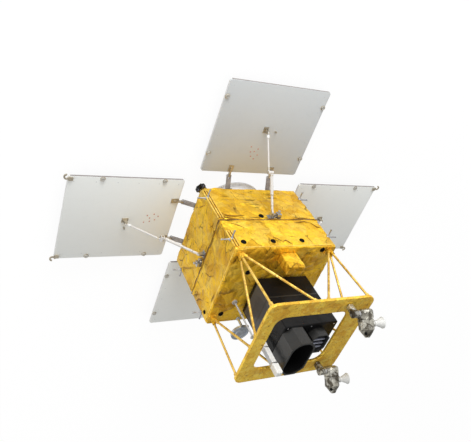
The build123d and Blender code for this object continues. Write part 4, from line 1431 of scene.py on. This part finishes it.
@dataclass
class Camera:
    """The black camera with its two hoods."""

    west: float = -0.190
    east: float = 0.326
    south: float = -0.288
    north: float = 0.098
    low_z: float = 1.060
    seam_z: float = 1.244
    split_z: float = 1.395
    front_z: float = 1.570
    hood: tuple[float, float] = (-0.080, -0.098)
    hood_inside: Point = (0.0975, 0.1755, 0.0915)
    hood_depth: float = 0.160
    finder: tuple[float, float] = (0.155, -0.058)
    sheet_inset: float = 0.010
    vane_half: float = 0.072
    vane_pitch: float = 0.046
    lens: Outline = ((0.0, 0.022), (0.03, 0.0205), (0.058, 0.015), (0.074, 0.008), (0.078, 0.0))

    @property
    def seat(self) -> Vector:
        """The middle of the main hood's foot."""
        return Vector((*self.hood, self.front_z))

    def glass(self) -> None:
        """The lens deep in the main hood, and the hood's black lining."""
        Work().spin(self.lens, self.seat, UP, 48).publish("camera_lens", "bus", LENS, "camera_black")
        ends = (self.front_z + 0.001, self.front_z + self.hood_depth)
        lining = Work().bridge([(self.hood_inside, (*self.hood, z)) for z in ends], 96)
        bmesh.ops.solidify(lining.bm, geom=list(lining.bm.faces), thickness=0.0004)
        lining.publish("hood_lining", "bus", WELL_BLACK, "camera_black")

    def sheets(self) -> None:
        """Paler sheets on the west side, as painted sheen: lighter black foil for the light that the
        camera's west faces catch.
        """
        work = Work()
        south, north = self.south + self.sheet_inset, self.north - self.sheet_inset
        for low, high in (
            (self.low_z, self.split_z - 0.008),
            (self.split_z + 0.008, self.front_z - self.sheet_inset),
        ):
            work.box((self.west - 0.0009, south, low), (self.west + 0.0004, north, high), 0.0003, 1)
        work.publish("camera_side_sheets", "bus", SIDE_SHEEN, "camera_black")

    def rings(self) -> None:
        """Two black rings round the lens."""
        work = Work()
        for low, r in ((0.0, 0.088), (0.028, 0.094)):
            outline = ((r, low), (r, low + 0.010), (r - 0.010, low + 0.012), (r - 0.010, low))
            work.spin(outline, self.seat, UP, 56)
        work.publish("camera_lens_rings", "bus", WELL_BLACK, "camera_black")

    def vanes(self) -> None:
        """Pale edges of the small hood's vanes: painted highlight."""
        work = Work()
        x, middle = self.finder
        low, high = self.front_z + 0.040, self.front_z + 0.056
        for lane in (-1.5, -0.5, 0.5, 1.5):
            y = middle + lane * self.vane_pitch
            near, far = (x - self.vane_half, y - 0.007, low), (x + self.vane_half, y + 0.007, high)
            work.box(near, far, 0.002)
        work.publish("finder_vane_edges", "bus", VANE_HIGHLIGHT, "camera_black")

    def seams(self) -> None:
        """Two thin strips round the housing."""
        work = Work()
        out, into, corner, tall = 0.001, 0.0005, 0.009, 0.006
        west, east, south, north = self.west, self.east, self.south, self.north
        for z in (self.seam_z, self.split_z):
            for near, far in (
                ((west - out, south - out), (east + out, south + into)),
                ((west - out, south - out), (west + into, north - corner)),
                ((west + corner, north - into), (east - corner, north + out)),
                ((east - into, south - out), (east + out, north - corner)),
            ):
                work.box((*near, z - tall), (*far, z + tall), 0.0004, 1)
        work.publish("camera_seams", "bus", HOOD_BLACK, "camera_black")

    def bolts(self) -> None:
        """Bolts on the front cover."""
        work = Work()
        for x in (self.west + 0.03, (self.west + self.east) / 2.0, self.east - 0.03):
            for y in (self.south + 0.018, self.north - 0.018):
                work.bolt(Vector((x, y, self.front_z)), UP, 0.005, 0.004)
        work.publish("camera_bolts", "bus", PLAIN_METAL, "camera_black")

    def build(self) -> None:
        """Dresses the camera and adds its glass, seams and small hardware."""
        dress(BLACK_FOIL, "camera_housing", "camera_cover")
        dress(HOOD_BLACK, "camera_hood", "finder_hood")
        dress(BRIGHT, "camera_feet")
        self.glass()
        self.sheets()
        self.rings()
        self.vanes()
        self.seams()
        self.bolts()


@dataclass
class SteeredHorn:
    """One steered horn: crumpled silver wraps and a white horn."""

    label: str
    pivot_x: float
    pivot_y: float
    seed: int
    roll: float = math.radians(14.0)
    lean: float = math.radians(42.0)
    frame_top: float = 1.638
    pivot_z: float = 1.726
    barrel_far: float = 0.128
    barrel_near: float = 0.076
    barrel_r: float = 0.032
    pedestal_far: float = 0.100
    pedestal_half: tuple[float, float] = (0.024, 0.025)
    arm_r: float = 0.066
    arm_tail: float = 0.034
    arm_length: float = 0.046
    head_r: float = 0.064
    head_length: float = 0.082
    tip_r: float = 0.022
    tip: float = 0.062
    horn_along: float = 0.040
    neck_r: float = 0.019
    neck: float = 0.082
    mouth_r: float = 0.046
    horn_reach: float = 0.146
    fine: float = 0.006
    vent_side: Point = (-0.80, 0.446, 0.401)
    hub: Outline = ((0.0, 0.0), (0.028, 0.0), (0.028, 0.012), (0.025, 0.014), (0.025, 0.03), (0.0, 0.03))
    vent: Outline = ((0.0, 0.006), (0.009, 0.006), (0.012, 0.004), (0.0125, -0.006))

    @property
    def arm(self) -> str:
        """The leaning arm's body."""
        return f"gimbal_{self.label}_arm"

    @property
    def head(self) -> str:
        """The rolling head's body."""
        return f"gimbal_{self.label}_head"

    @property
    def pivot(self) -> Vector:
        """Where the arm turns on its base."""
        return Vector((self.pivot_x, self.pivot_y, self.pivot_z))

    @property
    def axis(self) -> Vector:
        """Direction of the arm."""
        return Vector((0.0, -math.sin(self.lean), math.cos(self.lean)))

    @property
    def head_start(self) -> float:
        """Where the head begins along the arm."""
        return self.arm_length + 0.0005

    def wrap(self, body: str, outline: Outline, seed: int) -> None:
        """A crumpled foil wrap over a turned outline along the arm.

        Args:
            body: the body that carries the wrap, and the solid that it stands for.
            outline: radius and height of each corner, in metres.
            seed: the seed of its crinkles.
        """
        dense: list[tuple[float, float]] = []
        for (r0, h0), (r1, h1) in zip(outline, outline[1:]):
            steps = max(1, round(math.hypot(r1 - r0, h1 - h0) / self.fine))
            dense += [(r0 + (r1 - r0) * k / steps, h0 + (h1 - h0) * k / steps) for k in range(steps)]
        dense.append(outline[-1])
        work = Work()
        work.spin(dense, self.pivot, self.axis, 44)
        work.crumple(Crinkle(seed, 0.015, 0.085, 0.018), sink=0.0070)
        work.publish(f"{body}_wrap", body, SILVER, "silver_blanket", [body], sharp=24.0)

    def arm_parts(self) -> None:
        """The arm's foil wrap and its hub."""
        r, low, high = self.arm_r, -self.arm_tail, self.arm_length
        tail = ((0.0, low), (r - 0.022, low), (r - 0.007, low + 0.007), (r, low + 0.023))
        self.wrap(self.arm, (*tail, (r, high), (0.0, high)), self.seed)
        hub = Work().spin(self.hub, self.pivot - X_AXIS * (self.barrel_near - 0.0005), X_AXIS, 36)
        hub.publish(f"{self.arm}_hub", self.arm, BRIGHT, "silver_blanket")

    def head_parts(self) -> None:
        """The head's foil wrap, the white horn with its rolled mouth, and a vent."""
        start, full = self.head_start, self.head_start + self.head_length
        end = full + self.tip
        cone = ((self.head_r, full), (self.tip_r, end), (0.0, end))
        self.wrap(self.head, ((0.0, start), (self.head_r, start), *cone), self.seed + 5)
        over = Vector((0.0, math.cos(self.lean), math.sin(self.lean)))
        aim = X_AXIS * math.cos(self.roll) + over * math.sin(self.roll)
        r, m, h, n = self.neck_r, self.mouth_r, self.horn_reach, self.neck
        ring, lip = n - 0.012, h - 0.010
        neck = ((0.0, 0.0), (r, 0.0), (r, ring), (r + 0.006, ring), (r + 0.006, n - 0.004), (r, n - 0.002))
        mouth = ((m - 0.003, lip), (m - 0.0005, lip), (m, h - 0.009), (m, h - 0.0005), (m - 0.0005, h))
        inside = ((m - 0.005, h), (m - 0.006, h - 0.006), (r + 0.004, n + 0.016), (0.0, n + 0.015))
        root = self.pivot + self.axis * (start + self.horn_along)
        horn = Work().spin((*neck, *mouth, *inside), root, aim, 56)
        horn.publish(f"{self.head}_horn", self.head, RADOME, "white_radome")
        side = Vector(self.vent_side)
        seat = self.pivot + self.axis * (full + self.tip * 0.42) + side * 0.0445
        vent = Work().spin(self.vent, seat, side + self.axis * 0.6, 20)
        vent.publish(f"{self.head}_vent", self.head, VENT_BLACK, "silver_blanket")

    def build(self) -> None:
        """Builds the arm and the head with its horn."""
        self.arm_parts()
        self.head_parts()

    @staticmethod
    def bases(horns: Sequence["SteeredHorn"]) -> None:
        """The crumpled bases of all horns on the front frame.

        Args:
            horns: the horns that stand on them.
        """
        work = Work()
        for horn in horns:
            ends = (horn.pivot - X_AXIS * away for away in (horn.barrel_far, horn.barrel_near))
            work.rod(*ends, horn.barrel_r, sides=36, rings=10)
            x, y = horn.pivot_x - horn.pedestal_far, horn.pivot_y
            wide, deep = horn.pedestal_half
            work.box((x - wide, y - deep, horn.frame_top), (x + wide, y + deep, horn.pivot_z), 0.008)
        work.grid(0.008).crumple(Crinkle(52, 0.008, 0.08, 0.018), sink=0.0035)
        work.publish("gimbal_base_wraps", "bus", SILVER, "silver_blanket", ["gimbal_bases"], sharp=24.0)


@dataclass
class DeckUnits:
    """The small units on the payload deck."""

    box_low: Point = (-0.060, 0.279, 1.010)
    box_high: Point = (0.100, 0.371, 1.186)
    mast: tuple[float, float] = (-0.255, -0.175)
    rod: tuple[float, float] = (-0.300, -0.186)
    patch: Point = (-0.190, -0.476, 1.125)
    rod_band: Outline = ((0.0082, -0.006), (0.012, -0.006), (0.012, 0.006), (0.0082, 0.006))
    patch_rim: Outline = ((0.070, 0.0), (0.070, 0.003), (0.079, 0.003), (0.079, 0.0))
    patch_disc: Outline = ((0.0, 0.0035), (0.040, 0.0035), (0.044, 0.0022), (0.046, 0.0))

    def mast_parts(self) -> None:
        """Bands, bolts, the lit face and the cap of the mast."""
        x, y = self.mast
        bands, face, cap = Work(), Work(), Work()
        for z, half in ((1.425, 0.0255), (1.540, 0.0250), (1.698, 0.0265)):
            bands.box((x - half, y - half, z - 0.006), (x + half, y + half, z + 0.006), 0.002)
        for z in (1.03, 1.16, 1.29):
            bands.spin(self.rod_band, Vector((*self.rod, z)), UP, 24)
        for east, north in CORNERS:
            seat = Vector((self.rod[0] + east * 0.0115, self.rod[1] + north * 0.0115, 1.019))
            bands.bolt(seat, UP, 0.003, 0.004)
        # A white sheet on the mast's north face, lighter than the grey mast: painted highlight.
        face.box((x - 0.021, y + 0.0225, 1.434), (x + 0.021, y + 0.0238, 1.690), 0.0004, 1)
        cap.box((x - 0.021, y - 0.021, 1.793), (x + 0.021, y + 0.021, 1.7975), 0.003)
        bands.publish("mast_bands", "bus", BRIGHT, "mast_grey")
        face.publish("mast_face", "bus", WHITE, "mast_grey")
        cap.publish("mast_cap", "bus", RADOME, "white_radome")

    def build(self) -> None:
        """Builds and dresses the units."""
        work = Work().box(self.box_low, self.box_high, 0.007, 3)
        work.grid(0.008).crumple(Crinkle(97, 0.018, 0.14, 0.025), sink=0.007)
        work.publish("electronics_blanket", "bus", GOLD, "gold_blanket", ["electronics_box"], sharp=30.0)
        dress(MAST_GREY, "mast")
        dress(WHITE, "mast_head")
        dress(PATCH_METAL, "patch_antenna")
        self.mast_parts()
        rings = Work()
        for outline in (self.patch_rim, self.patch_disc):
            rings.spin(outline, Vector(self.patch), UP, 64)
        rings.publish("patch_rings", "bus", PATCH_METAL, "patch_metal")


@dataclass
class Studio:
    """White floor, soft lamps, a grey card for the foil and the camera."""

    eye: Point = (-2.6735, 2.9923, 3.8131)
    aim: Point = (0.0038, 0.0327, 0.1754)
    up: Point = (0.0023, 0.7765, -0.6301)
    focal_pixels: float = 558.21
    image_wide: float = 471.0
    sensor: float = 36.0
    ambient: float = 0.64
    floor_half: float = 60.0
    card_half: float = 3.6
    card_way: Point = (0.4958, -0.548, 0.674)
    card_middle: float = 1.3
    card_away: float = 4.6
    lamp_aim: Point = (0.0, 0.0, 0.7)

    def world(self) -> None:
        """A white surround to eye and gloss, softer as light."""
        world = bpy.data.worlds.new("studio_world")
        bpy.context.scene.world = world
        world.use_nodes = True
        nodes = Nodes(world.node_tree)
        soft = nodes.node("ShaderNodeBackground", {}, {"Color": PURE_WHITE, "Strength": self.ambient})
        full = nodes.node("ShaderNodeBackground", {}, {"Color": PURE_WHITE, "Strength": 1.0})
        shares = {0: nodes.seen(), 1: soft.outputs[0], 2: full.outputs[0]}
        both = nodes.node("ShaderNodeMixShader", {}, shares)
        nodes.node("ShaderNodeOutputWorld", {}, {"Surface": both.outputs[0]})

    @staticmethod
    def board(name: str, half: float, matrix: Matrix, shade: Shade) -> bpy.types.Object:
        """A flat square that isn't part of the satellite.

        Args:
            name: the board's name.
            half: half its width.
            matrix: its place.
            shade: its material.

        Returns:
            The object.
        """
        bm = bmesh.new()
        bmesh.ops.create_grid(bm, x_segments=1, y_segments=1, size=half, matrix=matrix)
        mesh = bpy.data.meshes.new(name)
        bm.to_mesh(mesh)
        bm.free()
        mesh.materials.append(shade.material)
        board = bpy.data.objects.new(name, mesh)
        bpy.context.collection.objects.link(board)
        return board

    def floor(self) -> None:
        """A wide pale floor that keeps a soft shadow."""
        shade = Shade("floor_white")
        glow = shade.node("ShaderNodeEmission", {}, {"Color": PURE_WHITE, "Strength": 1.045})
        matt = shade.node("ShaderNodeBsdfDiffuse", {}, {"Color": (0.86, 0.86, 0.86)})
        share = shade.seen() * 0.88
        mixed = shade.node("ShaderNodeMixShader", {}, {0: share, 1: matt.outputs[0], 2: glow.outputs[0]})
        shade.put(shade.output.inputs["Surface"], mixed.outputs[0])
        floor = self.board("floor", self.floor_half, Matrix.Translation(UP * -0.0005), shade)

    def card(self) -> None:
        """A grey card that only gloss sees, so that foil facing the payload reads darker."""
        way = Vector(self.card_way).normalized()
        turn = way.to_track_quat("Z", "Y").to_matrix().to_4x4()
        place = Matrix.Translation(UP * self.card_middle + way * self.card_away)
        shade = Shade("card_grey")
        glow = shade.node("ShaderNodeEmission", {}, {"Color": PURE_WHITE, "Strength": 0.28})
        shade.put(shade.output.inputs["Surface"], glow.outputs[0])
        card = self.board("grey_card", self.card_half, place @ turn, shade)
        card.visible_camera = card.visible_diffuse = card.visible_shadow = False
        card.visible_transmission = card.visible_volume_scatter = False

    def lamp(self, name: str, place: Point, power: float, size: float) -> None:
        """A large soft lamp that faces the satellite.

        Args:
            name: the lamp's name.
            place: where it hangs, in metres.
            power: its power in watts.
            size: the width of its square.
        """
        data = bpy.data.lights.new(name, "AREA")
        data.energy = power
        data.size = size
        lamp = bpy.data.objects.new(name, data)
        lamp.location = place
        way = Vector(self.lamp_aim) - Vector(place)
        lamp.rotation_euler = way.to_track_quat("-Z", "Y").to_euler()
        bpy.context.collection.objects.link(lamp)

    def camera(self) -> None:
        """The camera at the photograph's place."""
        data = bpy.data.cameras.new("camera")
        data.sensor_width = self.sensor
        data.sensor_fit = "HORIZONTAL"
        data.lens = self.focal_pixels / self.image_wide * self.sensor
        data.clip_end = 200.0
        camera = bpy.data.objects.new("camera", data)
        bpy.context.collection.objects.link(camera)
        back = (Vector(self.eye) - Vector(self.aim)).normalized()
        right = Vector(self.up).cross(back).normalized()
        turn = Matrix((right, back.cross(right), back)).transposed().to_4x4()
        camera.matrix_world = Matrix.Translation(Vector(self.eye)) @ turn
        bpy.context.scene.camera = camera

    def build(self) -> None:
        """Sets up floor, light and camera."""
        self.world()
        self.floor()
        self.card()
        self.lamp("key_lamp", (-1.7, 8.9, 2.1), 610.0, 4.0)
        self.lamp("fill_lamp", (-6.5, -3.0, 3.0), 40.0, 4.0)
        self.camera()
        bpy.context.scene.view_settings.view_transform = "Standard"


def main() -> None:
    """Builds the satellite's pieces in order and the studio round it."""
    logging.basicConfig(level=logging.INFO, format="%(message)s")
    Bus().build()
    for side in Side:
        # The north panel gets the darker skin as painted shade.
        skin = SHADED_SKIN if side is Side.NORTH else PANEL_SKIN
        SolarPanel(side, skin, mark_shift=-0.055 if side is Side.WEST else 0.0).build()
        FoldStrut(side).build()
    Truss().build()
    Camera().build()
    horns = [SteeredHorn("north", 0.353, 0.368, 71), SteeredHorn("south", 0.380, -0.340, 87)]
    for horn in horns:
        horn.build()
    SteeredHorn.bases(horns)
    DeckUnits().build()
    Studio().build()


if __name__ == "__main__":
    main()
